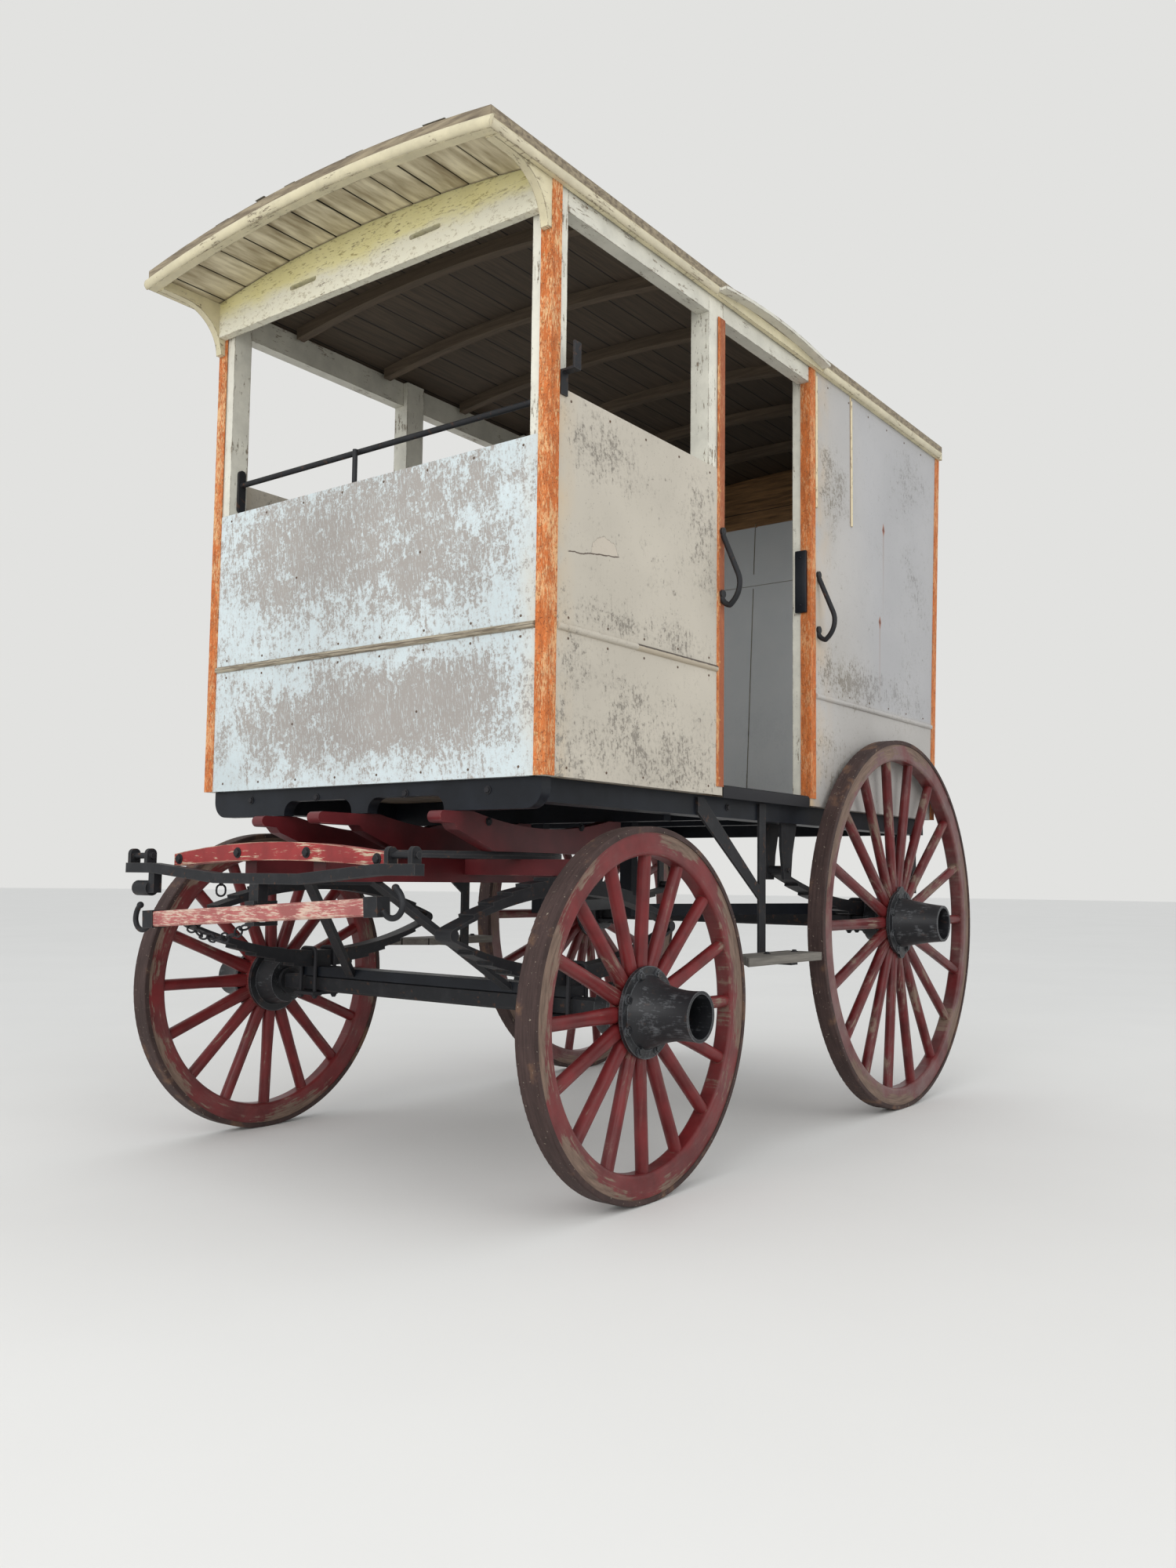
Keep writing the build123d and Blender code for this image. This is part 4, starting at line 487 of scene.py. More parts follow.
def wheel_wood(name, centre, rim, tyre, red, dust, wood, wear, greyed):
    """Red spokes and felloes worn to the wood; the grain follows spoke and rim."""
    f = Finish(name, shine=0.35)
    across, up, reach, _ = about_hub(f, centre)
    along_spoke = f.noise(f.vector(across * 42.0, up * 42.0, reach * 7.0), 5.0, 0.65)
    along_rim = f.noise(f.vector(across * 7.0, up * 7.0, reach * 150.0), 5.0, 0.65)
    on_rim = f.step(reach, rim - 0.004, rim + 0.004)
    grain = along_spoke + (along_rim - along_spoke) * on_rim
    patch = f.cloud(0.15, 2, 5.0, 0.62)
    outer = f.step(reach, rim + 0.010, tyre - 0.006) * f.spots(0.34, 4, 0.40, 0.56, 2.0)
    amount = patch * 0.55 + grain * 0.48 + outer * 0.26 + f.edges(0.004) * 0.10
    bare = f.step(amount + f.cloud(0.016, 5, 4.0, 0.7) * 0.12, wear, wear + 0.05)
    colour = f.layers(
        f.mix(f.spots(0.08, 6, 0.35, 0.65, 4.0), red, darker(red, 0.58)),
        (f.step(grain * 0.6 + patch * 0.5, 0.53, 0.66) * 0.62, dust),
        (on_rim * f.step(patch, 0.30, 0.62) * greyed, paint(122, 101, 98)),
        (bare, f.mix(f.step(grain, 0.35, 0.65), darker(wood, 0.52), wood)),
    )
    return f.close(colour, 0.40 + bare * 0.3, grain * 0.6 - bare * 0.5, 0.0009)


def tyre_iron(name, centre, iron):
    """Rolled iron hoop, scoured round its tread and freckled with rust and grit."""
    f = Finish(name, metallic=0.30, shine=0.35)
    across, up, _, along = about_hub(f, centre)
    scour = f.noise(f.vector(across * 5.0, up * 5.0, along * 170.0), 5.0, 0.6)
    blotch = f.cloud(0.10, 2, 5.0, 0.65)
    grit = f.spots(0.007, 3, 0.69, 0.73, 2.0)
    colour = f.layers(
        f.mix(f.step(scour * 0.5 + blotch * 0.5, 0.40, 0.62), darker(iron, 0.55), iron),
        (f.step(blotch, 0.56, 0.66) * 0.6, paint(122, 92, 70)),
        (grit * 0.7, paint(168, 156, 138)),
    )
    return f.close(colour, 0.62 + blotch * 0.25 - grit * 0.1, scour * 0.5 + grit * 0.6)


def hub_iron(name, black):
    """Black cast hub, scuffed grey on its barrel."""
    f = Finish(name, metallic=0.25)
    scuff = f.cloud(0.045, 2, 6.0, 0.7)
    rubbed = f.step(scuff * 0.7 + f.cloud((0.004, 0.05, 0.004), 3) * 0.35 + f.edges(0.004) * 0.22, 0.56, 0.72)
    colour = f.layers(
        black,
        (rubbed * 0.70, paint(122, 125, 128)),
        (f.spots(0.03, 5, 0.62, 0.70, 4.0) * 0.25, paint(96, 66, 48)),
    )
    return f.close(colour, 0.34 + scuff * 0.22, scuff * 0.5, 0.0008)


def black_iron(name, black):
    """Black paint on forged iron, rubbed bright on its corners and freckled with rust."""
    f = Finish(name, metallic=0.15, shine=0.28)
    cloud = f.cloud(0.05, 2, 5.0, 0.65)
    rust = f.spots(0.018, 4, 0.61, 0.68, 4.0)
    colour = f.layers(
        black,
        (f.step(cloud, 0.5, 0.75) * 0.30, paint(70, 70, 72)),
        (f.edges(0.003) * 0.35, paint(104, 100, 96)),
        (rust * 0.45, paint(96, 64, 44)),
    )
    return f.close(colour, 0.42 + cloud * 0.2, cloud * 0.6 + rust * 0.3, 0.0009)


def painted_timber(name, grain, red, pale, wear, rough=0.45, fine=0.007, shine=0.5):
    """Paint on planed timber, worn pale along the grain and at its corners."""
    f = Finish(name, shine=shine)
    streak = f.cloud(along_grain(grain, fine, fine * 9), 1, 5.0, 0.68)
    patch = f.cloud(0.10, 2, 4.0)
    bare = f.step(streak * 0.62 + patch * 0.42 + f.edges(0.005) * 0.14, wear, wear + 0.05)
    coat = f.mix(f.step(patch, 0.38, 0.64), darker(red, 0.62), red)
    under = f.mix(f.step(streak, 0.4, 0.7), darker(pale, 0.72), pale)
    return f.close(f.mix(bare, coat, under), rough + bare * 0.25, streak * 0.5 - bare * 0.5, 0.0009)


def weathered_boards(name, across, pitch, wood, pale_from=None):
    """Bare boards laid side by side, each its own tone, with dark joints; painted cream ahead of pale_from,
    that cream partly the paint and partly painted warm light.
    """
    f = Finish(name, roughness=0.85)
    count = (f.y if across == "y" else f.x) / pitch
    board = f.math("FLOOR", count)
    off_middle = abs(count - board - 0.5)
    joint = f.step(off_middle, 0.465, 0.485)
    tone = f.node("ShaderNodeTexWhiteNoise", {"W": board}, noise_dimensions="1D")
    size = (0.16, 0.010, 0.010) if across == "y" else (0.010, 0.16, 0.010)
    grain = f.cloud(size, 3, 6.0, 0.65, 0.4)
    colour = f.mix(f.step(grain, 0.34, 0.68), darker(wood, 0.50), wood)
    colour = f.mix(tone * 0.45, colour, darker(wood, 0.55))
    if pale_from is not None:
        stain = f.spots((0.16, 0.03, 0.03), 5, 0.35, 0.68, 4.0)
        grime = f.step(off_middle, 0.26, 0.46) * f.spots((0.12, 0.02, 0.02), 6, 0.40, 0.62, 5.0)
        # Painted light in part: the cream and its stains are lighter and yellower than the paint, standing
        # for warm light under the overhang.
        pale = f.mix(stain, paint(222, 212, 182), paint(152, 138, 108))
        pale = f.mix(grime * 0.6, pale, paint(112, 97, 70))
        colour = f.mix(f.step(f.x, pale_from, pale_from + 0.01), colour, pale)
    colour = f.mix(joint, colour, paint(24, 19, 15))
    return f.close(colour, 0.78 + grain * 0.15, grain * 0.5 - joint * 2.0, 0.0012)


def roof_cloth(name, cloth):
    """Painted canvas with a fine weave, lapped seams, cracks and rain dirt."""
    f = Finish(name, roughness=0.85)
    weave = f.math("SINE", f.x * 2400.0) * f.math("SINE", f.y * 2400.0)
    dirt = f.cloud((0.045, 0.15, 0.15), 2, 8.0, 0.72, 0.5)
    crack = f.spots((0.012, 0.07, 0.02), 3, 0.56, 0.60, 6.0, 0.75)
    along = (f.x + 1.3) / 0.68
    fold = along - f.math("FLOOR", along)
    lap = f.step(fold, 0.0, 0.035) * f.step(fold, 0.060, 0.040)
    soiled = f.step(dirt * 0.7 + f.cloud(0.012, 4, 5.0, 0.75) * 0.4, 0.44, 0.66)
    colour = f.layers(
        cloth,
        (soiled, darker(cloth, 0.50)),
        (crack * 0.7, paint(82, 75, 64)),
        (f.band(fold, 0.047, 0.002, 0.003) * 0.65, paint(70, 63, 54)),
    )
    return f.close(colour, 0.8 + crack * 0.1, weave * 0.3 + dirt * 2.0 + lap * 1.6 - crack * 0.8)


def coat_nodes(material, *names):
    """Give carried-over nodes a finish."""
    for name in names:
        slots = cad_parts[name].material_slots
        if not slots:
            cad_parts[name].data.materials.append(material)
        for slot in slots:
            slot.material = material


def clear_selection():
    """Leave nothing selected."""
    bpy.ops.object.select_all(action="DESELECT")


def started(primitive, **sizes):
    """A new primitive, alone in the selection."""
    clear_selection()
    primitive(**sizes)
    return bpy.context.object


def faces(piece, test, *moves):
    """Run edit-mode moves on the faces whose centre and normal pass the test."""
    bpy.ops.object.mode_set(mode="EDIT")
    bpy.ops.mesh.select_mode(type="FACE")
    bpy.ops.mesh.select_all(action="DESELECT")
    bpy.ops.object.mode_set(mode="OBJECT")
    for face in piece.data.polygons:
        face.select = test(face.center, face.normal)
    bpy.ops.object.mode_set(mode="EDIT")
    for move in moves:
        move()
    bpy.ops.object.mode_set(mode="OBJECT")


def everywhere(_centre, _normal):
    return True


def moved(x, y, z):
    """A move for faces() that shifts them."""
    return lambda: bpy.ops.transform.translate(value=(x, y, z))


def drawn_out(x, y, z):
    """A move for faces() that extrudes them."""
    return lambda: bpy.ops.mesh.extrude_region_move(TRANSFORM_OT_translate={"value": (x, y, z)})


def swung(steps, angle, centre):
    """A move for faces() that sweeps them round an axis along x."""
    return lambda: bpy.ops.mesh.spin(steps=steps, angle=angle, center=centre, axis=(1, 0, 0))


def shrunk(share, centre):
    """A move for faces() that scales the whole mesh about a centre."""

    def scale():
        bpy.ops.mesh.select_all(action="SELECT")
        bpy.ops.transform.resize(value=share, center_override=centre)

    return scale


def tidy_mesh():
    """Merge doubles and turn the faces outwards, in edit mode."""
    bpy.ops.mesh.select_all(action="SELECT")
    bpy.ops.mesh.remove_doubles(threshold=0.00005)
    bpy.ops.mesh.normals_make_consistent(inside=False)


def bevel_all(piece, width, segments=2):
    """Round every hard edge with an applied Bevel modifier."""
    rounding = piece.modifiers.new("Rounding", "BEVEL")
    rounding.width = width
    rounding.segments = segments
    bpy.ops.object.modifier_apply(modifier=rounding.name)


def squared(size, place, width=0.002):
    """A squared bar or board with its corners rounded."""
    piece = started(bpy.ops.mesh.primitive_cube_add, size=1.0, location=place)
    piece.scale = size
    bpy.ops.object.transform_apply(location=False, rotation=False, scale=True)
    bevel_all(piece, width)
    return piece


def bolt_head(radius):
    """Hexagon head on a round washer, standing on z = 0."""
    cylinder = bpy.ops.mesh.primitive_cylinder_add
    washer = started(cylinder, vertices=16, radius=radius * 1.35, depth=0.002, location=(0, 0, 0.001))
    head = started(cylinder, vertices=6, radius=radius, depth=radius * 0.7, location=(0, 0, radius * 0.35))
    faces(
        head,
        lambda centre, normal: normal.z > 0.9,
        lambda: bpy.ops.mesh.inset(thickness=radius * 0.16),
        moved(0, 0, radius * 0.14),
    )
    return joined([washer, head])


def nail_head(radius):
    """Low domed head, standing on z = 0."""
    dome = started(bpy.ops.mesh.primitive_uv_sphere_add, segments=10, ring_count=6, radius=radius)
    faces(
        dome,
        everywhere,
        lambda: bpy.ops.mesh.bisect(plane_co=(0, 0, 0), plane_no=(0, 0, 1), use_fill=True, clear_inner=True),
        shrunk((1, 1, 0.55), (0, 0, 0)),
        tidy_mesh,
    )
    return dome


def facing(point, direction):
    """Where a copy stands whose z axis points in a direction."""
    turn = Vector((0, 0, 1)).rotation_difference(Vector(direction))
    return Matrix.Translation(point) @ turn.to_matrix().to_4x4()


def outward(x, y, z):
    """Where a head stands that points away from the wagon's middle line."""
    return facing((x, y, z), (0, math.copysign(1, y), 0))


def forward(x, y, z):
    """Where a head stands that points forward."""
    return facing((x, y, z), (1, 0, 0))


def copies(model, places):
    """Copies of a model, each with its own mesh; the model goes."""
    made = []
    for place in places:
        copy = model.copy()
        copy.data = model.data.copy()
        bpy.context.scene.collection.objects.link(copy)
        copy.matrix_world = place @ model.matrix_world
        made.append(copy)
    bpy.data.objects.remove(model)
    return made


def joined(pieces):
    """One object from several, its place in its mesh."""
    bpy.context.view_layer.update()
    clear_selection()
    for piece in pieces:
        piece.select_set(True)
    bpy.context.view_layer.objects.active = pieces[0]
    if len(pieces) > 1:
        bpy.ops.object.join()
    bpy.ops.object.transform_apply(location=True, rotation=True, scale=True)
    return bpy.context.view_layer.objects.active


def fitted(pieces, name, body, finish, angle=35.0):
    """Join pieces, name and shade them, give them a finish made earlier and let them ride on their body."""
    piece = joined(pieces)
    piece.name = name
    piece.data.name = name
    bpy.ops.object.shade_smooth_by_angle(angle=math.radians(angle))
    piece.data.materials.clear()
    piece.data.materials.append(bpy.data.materials[finish])
    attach(piece, body)
    if not piece.data.polygons:
        raise RuntimeError(f"{name} has no faces")
    return piece


class WAGON_OT_wheel_finishes(bpy.types.Operator):
    """Wood, tyre and hub finishes of the four wheels."""

    bl_idname = "wagon.wheel_finishes"
    bl_label = "Wheel finishes"

    def execute(self, context):
        c = context.scene.wagon_colours
        # End, middle, radius inside the felloe and inside the tyre, red, dust, wear, how grey the rim is
        red, rear_red = tuple(c.wheel_red), darker(c.wheel_red, 0.78)
        front = ("front", (FRONT_X, 0.0, FRONT_AXLE_Z), 0.381, 0.438, red, (106, 53, 51), 0.655, 0.16)
        rear = ("rear", (REAR_X, 0.0, REAR_AXLE_Z), 0.564, 0.621, rear_red, (108, 76, 73), 0.622, 0.72)
        for end, centre, rim, tyre, red, dust, wear, greyed in (front, rear):
            timber = tuple(c.wheel_wood)
            wood = wheel_wood(f"{end}_wheel_wood", centre, rim, tyre, red, paint(*dust), timber, wear, greyed)
            iron = tyre_iron(f"{end}_tyre_iron", centre, tuple(c.tyre_iron))
            hub = hub_iron(f"{end}_hub_iron", tuple(c.iron_black))
            for side, _ in SIDES:
                coat_nodes(wood, f"{end}_{side}_wheel")
                coat_nodes(iron, f"{end}_{side}_tyre")
                coat_nodes(hub, f"{end}_{side}_hub")
        return {"FINISHED"}


class WAGON_OT_gear_finishes(bpy.types.Operator):
    """Finishes of the running gear, the draft gear and the underframe."""

    bl_idname = "wagon.gear_finishes"
    bl_label = "Gear finishes"

    def execute(self, context):
        c = context.scene.wagon_colours
        coat_nodes(
            black_iron("black_iron", tuple(c.iron_black)),
            "front_axle", "rear_axle", "front_springs", "rear_springs", "turntable_upper", "turntable_lower",
            "truss_bar", "draft_stays", "shaft_couplings", "tree_irons", "tree_clevis", "step_hangers",
            "spring_hangers", "grab_handles", "hook_iron", "front_rail",
        )
        black, red, bar_red = tuple(c.timber_black), tuple(c.gear_red), tuple(c.bar_red)
        grey = (84, 88, 92)
        # Finish, grain, paint, wood under it, wear, roughness, fineness of the streaks, shine, nodes
        timbers = (
            ("black_timber", "y", black, grey, 0.74, 0.4, 0.007, 0.25, "axle_bed", "front_cross_board"),
            ("black_sills", "x", black, (70, 69, 66), 0.72, 0.45, 0.007, 0.2, "underframe", "radius_bars"),
            ("gear_red", "x", red, (150, 84, 80), 0.72, 0.40, 0.007, 0.5, "rocker_bars", "draft_rails"),
            ("bolster_red", "y", red, (160, 100, 90), 0.70, 0.45, 0.007, 0.5, "front_bolster"),
            ("bar_red", "y", bar_red, (208, 184, 158), 0.562, 0.5, 0.007, 0.5, "draft_bar"),
            ("tree_red", "y", paint(186, 104, 100), (216, 186, 168), 0.520, 0.6, 0.0034, 0.5, "singletree"),
        )
        for name, grain, coat, under, wear, rough, fine, shine, *nodes in timbers:
            coat_nodes(painted_timber(name, grain, coat, paint(*under), wear, rough, fine, shine), *nodes)
        return {"FINISHED"}


class WAGON_OT_body_finishes(bpy.types.Operator):
    """Finishes of the sheets, posts, irons, floor and steps."""

    bl_idname = "wagon.body_finishes"
    bl_label = "Body finishes"

    def execute(self, context):
        c = context.scene.wagon_colours
        cream, worn = tuple(c.side_cream), paint(140, 133, 122)
        bare, frame_white = tuple(c.bare_frame), tuple(c.frame_white)
        aged = paint(216, 206, 172)
        front = tuple(c.sheet_white), tuple(c.sheet_grey), True, FRONT_PATCHES, 1.230, (0.54, 0.66)
        ahead = cream, worn, False, SIDE_FRONT_PATCHES, 1.310, (1.0, 1.12)
        behind = paint(184, 180, 175), worn, False, SIDE_REAR_PATCHES, 1.325, (-0.40, -0.22)
        wall = darker(cream, 0.92), worn, True, REAR_WALL_PATCHES, 1.310, (0.55, 0.65)
        coat_nodes(worn_sheet("front_sheet", *front, front_belt_mark), "front_panel")
        sheet = worn_sheet("side_sheet_front", *ahead, side_front_marks)
        coat_nodes(sheet, "side_panel_front_left", "side_panel_front_right")
        sheet = worn_sheet("side_sheet_rear", *behind, side_rear_marks)
        coat_nodes(sheet, "side_panel_rear_left", "side_panel_rear_right")
        coat_nodes(worn_sheet("rear_sheet", *wall, rear_wall_marks), "rear_wall")
        posts = flaking_paint("post_paint", "z", frame_white, bare)
        coat_nodes(posts, "front_posts", "door_posts", "rear_posts")
        rails = flaking_paint("rail_paint", "x", darker(frame_white, 0.9), bare)
        coat_nodes(rails, "eave_rails", "drip_visors")
        coat_nodes(flaking_paint("bracket_paint", "x", aged, bare, 0.722), "roof_brackets")
        header = flaking_paint("header_paint", "y", frame_white, bare, 0.735, green_upper_half)
        coat_nodes(header, "front_header")
        coat_nodes(flaking_paint("edging_paint", "y", aged, bare, 0.722, plank_behind_cornice), "roof_edging")
        coat_nodes(rusty_angle("rusty_angle", tuple(c.rust)), "corner_irons")
        coat_nodes(weathered_boards("floor_boards", "y", 0.128, tuple(c.boards)), "floor")
        coat_nodes(weathered_boards("step_boards", "y", 0.062, paint(130, 125, 117)), "step_boards")
        return {"FINISHED"}


class WAGON_OT_roof_finishes(bpy.types.Operator):
    """Finishes of the roof boards, bows, cloth and mouldings."""

    bl_idname = "wagon.roof_finishes"
    bl_label = "Roof finishes"

    def execute(self, context):
        c = context.scene.wagon_colours
        boards = weathered_boards("roof_boards", "y", BOARD_PITCH, darker(c.boards, 0.55), BODY_FRONT + 0.027)
        coat_nodes(boards, "roof_deck")
        coat_nodes(weathered_boards("roof_bow_wood", "x", 0.4, darker(c.boards, 0.8)), "roof_bows")
        coat_nodes(roof_cloth("roof_cloth", tuple(c.canvas)), "roof_canvas")
        flaking_paint("nosing_paint", "y", paint(212, 202, 170), tuple(c.bare_frame), 0.708)
        flaking_paint("moulding_paint", "x", paint(206, 196, 168), tuple(c.bare_frame), 0.712)
        return {"FINISHED"}


class WAGON_OT_hub_bolts(bpy.types.Operator):
    """Eight bolts round the flange of each hub."""

    bl_idname = "wagon.hub_bolts"
    bl_label = "Hub bolts"

    def execute(self, context):
        circle = 0.097
        ends = (("front", FRONT_X, FRONT_AXLE_Z, 0.729), ("rear", REAR_X, REAR_AXLE_Z, 0.703))
        for end, hub_x, hub_z, face in ends:
            for side, sign in SIDES:
                places = []
                for step in range(8):
                    angle = math.radians(45 * step + 22.5)
                    across, up = circle * math.cos(angle), circle * math.sin(angle)
                    places.append(outward(hub_x + across, sign * face, hub_z + up))
                bolts = copies(bolt_head(context.scene.wagon_sizes.bolt_radius), places)
                fitted(bolts, f"{end}_{side}_hub_bolts", f"{end}_{side}_wheel", f"{end}_hub_iron")
        return {"FINISHED"}


class WAGON_OT_iron_screws(bpy.types.Operator):
    """Screws in the legs of the corner irons."""

    bl_idname = "wagon.iron_screws"
    bl_label = "Corner iron screws"

    def execute(self, context):
        leg_middle = 0.026
        face = BODY_SIDE + 0.003
        places = []
        for _, sign in SIDES:
            for step in range(9):
                height = 1.06 + 0.165 * step
                places.append(outward(BODY_FRONT - leg_middle, sign * face, height))
                places.append(forward(BODY_FRONT + 0.003, sign * (face - leg_middle), height + 0.05))
                places.append(outward(DOOR_BACK - 0.024, sign * face, height))
                if height < 1.9:
                    places.append(outward(DOOR_FRONT + 0.022, sign * face, height))
        screws = copies(nail_head(context.scene.wagon_sizes.nail_radius * 1.35), places)
        fitted(screws, "iron_screws", "wagon", "rusty_angle")
        return {"FINISHED"}


class WAGON_OT_panel_nails(bpy.types.Operator):
    """Nails round the edges of the sheets and along the front battens."""

    bl_idname = "wagon.panel_nails"
    bl_label = "Panel nails"

    def execute(self, context):
        pitch = 0.16
        # First nail, pitch, count and heights of the rows on the side sheets
        ahead = (0.39, pitch, 5, (1.035, 1.345, 1.395, 1.925))
        behind = (-0.36, -pitch, 6, (1.035, 1.395, 2.42))
        places = []
        for height in (1.035, 1.345, 1.395, 1.81):
            places += [forward(BODY_FRONT, -0.56 + pitch * step, height) for step in range(8)]
        for height in (1.60, 1.19):
            places += [forward(BODY_FRONT, across, height) for across in (-0.26, 0.22)]
        for _, sign in SIDES:
            for first, apart, count, heights in (ahead, behind):
                spots = [(first + apart * step, height) for height in heights for step in range(count)]
                places += [outward(along, sign * BODY_SIDE, height) for along, height in spots]
        black_iron("nail_iron", paint(96, 78, 64))
        nails = copies(nail_head(context.scene.wagon_sizes.nail_radius), places)
        fitted(nails, "panel_nails", "wagon", "nail_iron")
        return {"FINISHED"}


def chain_link(wire, length):
    """One oval link, its length along x."""
    width = length * 0.34
    link = started(
        bpy.ops.mesh.primitive_torus_add,
        major_radius=width, minor_radius=wire, major_segments=16, minor_segments=6,
    )
    stretch = length / 2 - width - wire
    for way in (1, -1):
        faces(link, lambda centre, normal: centre.x * way > 0.0002, moved(way * stretch, 0, 0))
    return link


def hang_chain(name, body, points, sizes):
    """A chain of links laid along points, every other one turned a quarter."""
    pitch = sizes.link_length - 2.6 * sizes.chain_wire
    walk = [Vector(points[0])]
    for ahead in points[1:]:
        ahead = Vector(ahead)
        while (ahead - walk[-1]).length > pitch:
            walk.append(walk[-1] + (ahead - walk[-1]).normalized() * pitch)
    places = []
    for number, (here, after) in enumerate(zip(walk, walk[1:])):
        turn = Vector((1, 0, 0)).rotation_difference((after - here).normalized()).to_matrix().to_4x4()
        quarter = Matrix.Rotation(math.radians(90 * (number % 2) + 20), 4, "X")
        places.append(Matrix.Translation((here + after) / 2) @ turn @ quarter)
    links = copies(chain_link(sizes.chain_wire, sizes.link_length), places)
    fitted(links, name, body, "black_iron", 60.0)


class WAGON_OT_chains(bpy.types.Operator):
    """The short chain below the truss bar and the slack one under the singletree."""

    bl_idname = "wagon.chains"
    bl_label = "Chains"

    def execute(self, context):
        sizes = context.scene.wagon_sizes
        hang_chain("truss_chain", "front_gear", [(1.3985, -0.163, 0.775), (1.3985, -0.163, 0.700)], sizes)
        slack = []
        for step in range(13):
            share = step / 12
            sag = 0.034 * 4 * share * (1 - share)
            slack.append((1.4165, -0.262 + 0.240 * share, 0.642 + 0.014 * share - sag))
        hang_chain("tree_chain", "singletree", slack, sizes)
        return {"FINISHED"}


def clip_rod(radius, half_width, leg):
    """U-shaped rod, open below: legs down both sides, the bend on top, at z = 0."""
    foot = (0, -half_width, -leg)
    rod = started(
        bpy.ops.mesh.primitive_circle_add, vertices=10, radius=radius, fill_type="NGON", location=foot
    )
    bpy.ops.object.transform_apply(location=True, rotation=False, scale=False)
    bend = half_width * 0.45
    quarter = math.radians(90)
    faces(
        rod,
        everywhere,
        drawn_out(0, 0, leg - bend),
        swung(5, quarter, (0, -half_width + bend, -bend)),
        drawn_out(0, 2 * (half_width - bend), 0),
        swung(5, quarter, (0, half_width - bend, -bend)),
        drawn_out(0, 0, bend - leg),
        tidy_mesh,
    )
    return rod


class WAGON_OT_spring_clips(bpy.types.Operator):
    """Rods and plates that clip each spring to its axle."""

    bl_idname = "wagon.spring_clips"
    bl_label = "Spring clips"

    def execute(self, context):
        rod = context.scene.wagon_sizes.clip_rod
        half_width = 0.031
        # End, body, axle's x, spring's y, top of the leaves, underside of the axle, half the clips' distance
        front = ("front", "front_gear", FRONT_X, FRONT_SPRING_Y, 0.551, 0.429, 0.037)
        rear = ("rear", "wagon", REAR_X, REAR_SPRING_Y, 0.706, 0.612, 0.032)
        for end, body, axle_x, spring_y, pack_top, axle_bottom, apart in (front, rear):
            places = []
            plates = []
            nuts = []
            for _, side in SIDES:
                size = (apart * 2 + 0.034, 0.086, 0.009)
                plates.append(squared(size, (axle_x, side * spring_y, axle_bottom - 0.0047)))
                for way in (1, -1):
                    along = axle_x + way * apart
                    places.append(Matrix.Translation((along, side * spring_y, pack_top + rod)))
                    for edge in (1, -1):
                        foot = (along, side * spring_y + edge * half_width, axle_bottom - 0.0092)
                        nuts.append(facing(foot, (0, 0, -1)))
            rods = copies(clip_rod(rod, half_width, pack_top + rod - axle_bottom + 0.020), places)
            clips = rods + plates + copies(bolt_head(rod * 1.5), nuts)
            fitted(clips, f"{end}_spring_clips", body, "black_iron")
        return {"FINISHED"}


class WAGON_OT_doorway_treads(bpy.types.Operator):
    """Ribbed plate on each doorway's sill."""

    bl_idname = "wagon.doorway_treads"
    bl_label = "Doorway treads"

    def execute(self, context):
        pitch = context.scene.wagon_sizes.rib_pitch
        length = DOOR_FRONT - DOOR_BACK - 0.016
        middle = (DOOR_FRONT + DOOR_BACK) / 2
        count = int(length / pitch)
        start = middle - pitch * (count - 1) / 2
        for side, sign in SIDES:
            plate = squared((length, 0.072, 0.004), (middle, sign * 0.600, FLOOR_TOP + 0.002), 0.001)
            apron = squared((length, 0.0028, 0.034), (middle, sign * 0.6384, FLOOR_TOP - 0.013), 0.001)
            lying = (math.pi / 2, 0, 0)
            cylinder = bpy.ops.mesh.primitive_cylinder_add
            rib = started(cylinder, vertices=8, radius=0.0026, depth=0.074, rotation=lying)
            bevel_all(rib, 0.0006, 1)
            places = []
            for step in range(count):
                places.append(Matrix.Translation((start + pitch * step, sign * 0.6012, FLOOR_TOP + 0.0042)))
            tread = [plate, apron] + copies(rib, places)
            fitted(tread, f"doorway_tread_{side}", "wagon", "black_iron")
        return {"FINISHED"}


class WAGON_OT_jamb_strips(bpy.types.Operator):
    """Black strip on the rear jamb of each doorway."""

    bl_idname = "wagon.jamb_strips"
    bl_label = "Jamb strips"

    def execute(self, context):
        for side, sign in SIDES:
            jamb = sign * 0.612
            strip = squared((0.012, 0.040, 0.203), (DOOR_BACK + 0.0092, jamb, 1.7375), 0.003)
            places = [forward(DOOR_BACK + 0.0151, jamb, height) for height in (1.66, 1.815)]
            nails = copies(nail_head(0.004), places)
            fitted([strip] + nails, f"jamb_strip_{side}", "wagon", "black_timber")
        return {"FINISHED"}


class WAGON_OT_gear_bolts(bpy.types.Operator):
    """Bolt heads on the draft bar, the rockers, the cross board, the steps and the rings."""

    bl_idname = "wagon.gear_bolts"
    bl_label = "Gear bolts"

    def execute(self, context):
        radius = context.scene.wagon_sizes.bolt_radius
        upward = (0, 0, 1)
        front = []
        body = []
        for _, sign in SIDES:
            front.append(forward(DRAFT_FACE, sign * 0.130, 0.8285))
            front.append(forward(DRAFT_FACE, sign * 0.372, 0.813))
            front += [facing((along, sign * 0.130, 0.8227), upward) for along in (1.22, 1.29)]
            body += [outward(along, sign * 0.358, 0.915) for along in (0.985, 0.60)]
            body += [outward(along, sign * 0.60, 0.985) for along in (0.0, 0.22)]
            body += [facing((along, sign * 0.66, 0.560), upward) for along in (-0.08, 0.09)]
        body += [forward(1.0935, across, 0.985) for across in (-0.45, -0.17, 0.17, 0.45)]
        fitted(copies(bolt_head(radius), front), "draft_bolts", "front_gear", "black_iron")
        fitted(copies(bolt_head(radius * 0.8), body), "underframe_bolts", "wagon", "black_iron")
        return {"FINISHED"}


